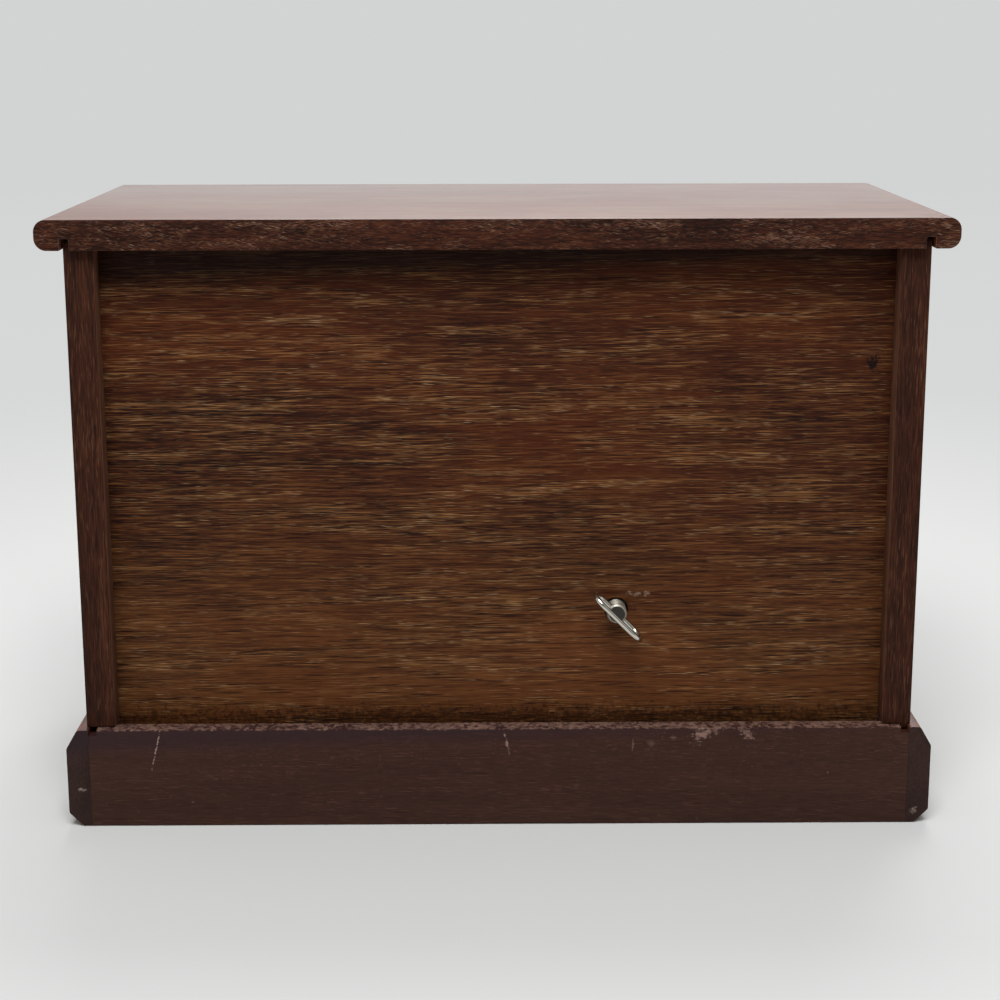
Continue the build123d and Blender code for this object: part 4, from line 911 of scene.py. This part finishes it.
def movement_screw_heads():
    """Slotted screws of the bedplate, the comb and the spring bridge."""
    bed_thickness, inset = 2 * MM, 4 * MM
    low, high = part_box("bedplate")
    bed_y = high.y - bed_thickness
    shape = bmesh.new()
    places = ((low.x + inset, low.z + inset), (high.x - inset, low.z + inset),
              (high.x - inset, high.z - inset))
    for n, (x, z) in enumerate(places):
        seat = Vector((x, bed_y, z))
        slotted_screw(shape, seat, FRONTWARD, WOOD_SCREW, length=6.8, turn=15 + 70 * n)
    new_piece("bedplate_screws_slotted", shape, [steel], "bedplate_screws", sharp=35)

    low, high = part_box("comb")
    shape = bmesh.new()
    for n, x in enumerate((low.x + inset, high.x - inset)):
        seat = Vector((x, low.y, low.z + inset))
        slotted_screw(shape, seat, FRONTWARD, MACHINE_SCREW, length=5.3, turn=20 + 65 * n)
    low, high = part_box("spring_bridge")
    bridge_foot = Vector(((low.x + high.x) / 2, bed_y - 1 * MM, low.z + 2.25 * MM))
    slotted_screw(shape, bridge_foot, FRONTWARD, MACHINE_SCREW, length=2.8, turn=50)
    new_piece("movement_screws_slotted", shape, [steel], "movement_screws", sharp=35)


def worm_spindle():
    """The governor's spindle with its two-start worm cut smooth."""
    low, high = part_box("fan_spindle")
    middle = (low + high) / 2
    wheel_low, wheel_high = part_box("governor_wheel")
    axle_y = (wheel_low.y + wheel_high.y) / 2
    pivot, journal = 0.3, 0.5
    worm_length, lead, tip, root = 4.2, 2 * math.pi * 0.4, 1.43, 0.68
    shape = bmesh.new()
    length = (high.y - low.y) / MM
    turned(shape, [(0, 0), (pivot, 0), (journal, 0.3), (journal, length - 0.3),
                   (pivot, length), (0, length)],
           Vector((middle.x, high.y, middle.z)), FRONTWARD, segments=24)
    loops = []
    steps, sides = 80, 20
    for n in range(steps + 1):
        rise = worm_length * (n / steps - 0.5)
        twist = 2 * math.pi * rise / lead
        loop = []
        for a in range(sides):
            turn = 2 * math.pi * a / sides
            u, w = tip * math.cos(turn), root * math.sin(turn)
            x = u * math.cos(twist) - w * math.sin(twist)
            z = u * math.sin(twist) + w * math.cos(twist)
            loop.append(shape.verts.new((middle.x + x * MM, axle_y - rise * MM, middle.z + z * MM)))
        loops.append(loop)
    for first, second in zip(loops, loops[1:]):
        for a in range(sides):
            b = (a + 1) % sides
            shape.faces.new((first[a], first[b], second[b], second[a]))
    shape.faces.new(loops[0])
    shape.faces.new(loops[-1])
    new_piece("fan_spindle_worm", shape, [steel], "fan_spindle", sharp=40)


movement_screw_heads()
worm_spindle()
for name in ("drive_wheel", "pin_drum", "cylinder_pinion", "cylinder_wheel", "fan_vane"):
    dress(name, movement_brass)
for name in ("spring_cup", "mainspring", "winding_arbor", "spring_bridge", "cylinder_axle", "comb",
             "governor_frame", "stop_lever"):
    dress(name, steel)
dress("bedplate", zinc)
dress("governor_wheel", white_nylon)


# Studio: a pale floor under soft even light

BACKDROP = "d2d4d4"
FLOOR_RADIUS = 9.0
floor_shape = bmesh.new()
bmesh.ops.create_circle(floor_shape, cap_ends=True, segments=96, radius=FLOOR_RADIUS)
floor_mesh = bpy.data.meshes.new("studio_floor")
floor_shape.to_mesh(floor_mesh)
floor_shape.free()
studio_floor = bpy.data.objects.new("studio_floor", floor_mesh)
bpy.context.scene.collection.objects.link(studio_floor)
studio_floor.location.z = -0.2 * MM

# Matt paper near the box, and further off a glow that only the camera and gloss see,
# which turns to the backdrop's colour. Distances are from the box, in metres
floor_material, tree = new_tree("studio_paper")
place = add(tree, "TexCoord").node.outputs["Object"]
away = add(tree, "VectorMath", {0: place}, operation="LENGTH").node.outputs["Value"]
path = add(tree, "LightPath").node
seen = add(tree, "Math", {0: path.outputs["Is Camera Ray"], 1: path.outputs["Is Glossy Ray"]},
           operation="MAXIMUM")
near_end = add(tree, "MapRange", {
    "Value": away, "From Min": 0.4, "From Max": 0.9, "To Max": seen,
})
far_end = add(tree, "MapRange", {
    "Value": away, "From Min": 0.9, "From Max": 3.0, "To Max": seen,
})
paper = add(tree, "BsdfDiffuse", {"Color": linear("cacbca")})
glow = add(tree, "Emission", {"Color": linear("d7d9d8"), "Strength": 1.0})
sky = add(tree, "Emission", {"Color": linear(BACKDROP), "Strength": 1.0})
lit = add(tree, "MixShader", {0: near_end, 1: paper, 2: glow})
add(tree, "OutputMaterial", {"Surface": add(tree, "MixShader", {0: far_end, 1: lit, 2: sky})})
floor_mesh.materials.append(floor_material)

# The room lights from above, the backdrop is pale, and what gloss mirrors on the
# lens's side is dim
world = bpy.data.worlds.new("studio_room")
bpy.context.scene.world = world
world.use_nodes = True
world.node_tree.nodes.clear()
tree = world.node_tree
path = add(tree, "LightPath").node
way = add(tree, "SeparateXYZ", {0: add(tree, "TexCoord").node.outputs["Generated"]}).node.outputs
level = add(tree, "MapRange", {
    "Value": way["Y"], "From Min": -0.1, "From Max": 0.7, "To Min": 0.86, "To Max": 0.3,
})
above = add(tree, "MapRange", {"Value": way["Z"], "To Min": 0.08, "To Max": 0.6})
mirrored = add(tree, "Math", {
    0: path.outputs["Is Glossy Ray"], 1: path.outputs["Is Transmission Ray"],
}, operation="MAXIMUM")
room = add(tree, "Background", {"Color": linear("f6f6f5"), "Strength": above})
mirror = add(tree, "Background", {"Color": linear("e2e4e4"), "Strength": level})
shown = add(tree, "Background", {"Color": linear(BACKDROP), "Strength": 1.0})
unseen = add(tree, "MixShader", {0: mirrored, 1: room, 2: mirror})
full = add(tree, "MixShader", {0: path.outputs["Is Camera Ray"], 1: unseen, 2: shown})
add(tree, "OutputWorld", {"Surface": full})


def soft_box(name, place, size, power):
    """A large square studio light, size metres wide, that points at the box."""
    aim = Vector((0, 0, 0.1))
    lamp = bpy.data.lights.new(name, "AREA")
    lamp.shape = "SQUARE"
    lamp.size = size
    lamp.energy = power
    light = bpy.data.objects.new(name, lamp)
    light.location = place
    light.rotation_euler = (aim - Vector(place)).to_track_quat("-Z", "Y").to_euler()
    bpy.context.scene.collection.objects.link(light)


soft_box("light_over_back", (0.05, 0.95, 1.6), size=0.9, power=29)
soft_box("light_over_front", (-0.15, -1.1, 1.6), size=1.1, power=20)

# Camera, behind the box as in the photograph, to whose corners it is fitted
camera_data = bpy.data.cameras.new("photo_view")
camera_data.lens = 72.89
camera_data.sensor_width = 36.0
camera = bpy.data.objects.new("photo_view", camera_data)
camera.location = (0.00433, 0.77836, 0.28391)
camera.rotation_euler = [math.radians(a) for a in (76.9022, 0.1172, 179.5774)]
bpy.context.scene.collection.objects.link(camera)
bpy.context.scene.camera = camera

bpy.context.scene.view_settings.view_transform = "Standard"
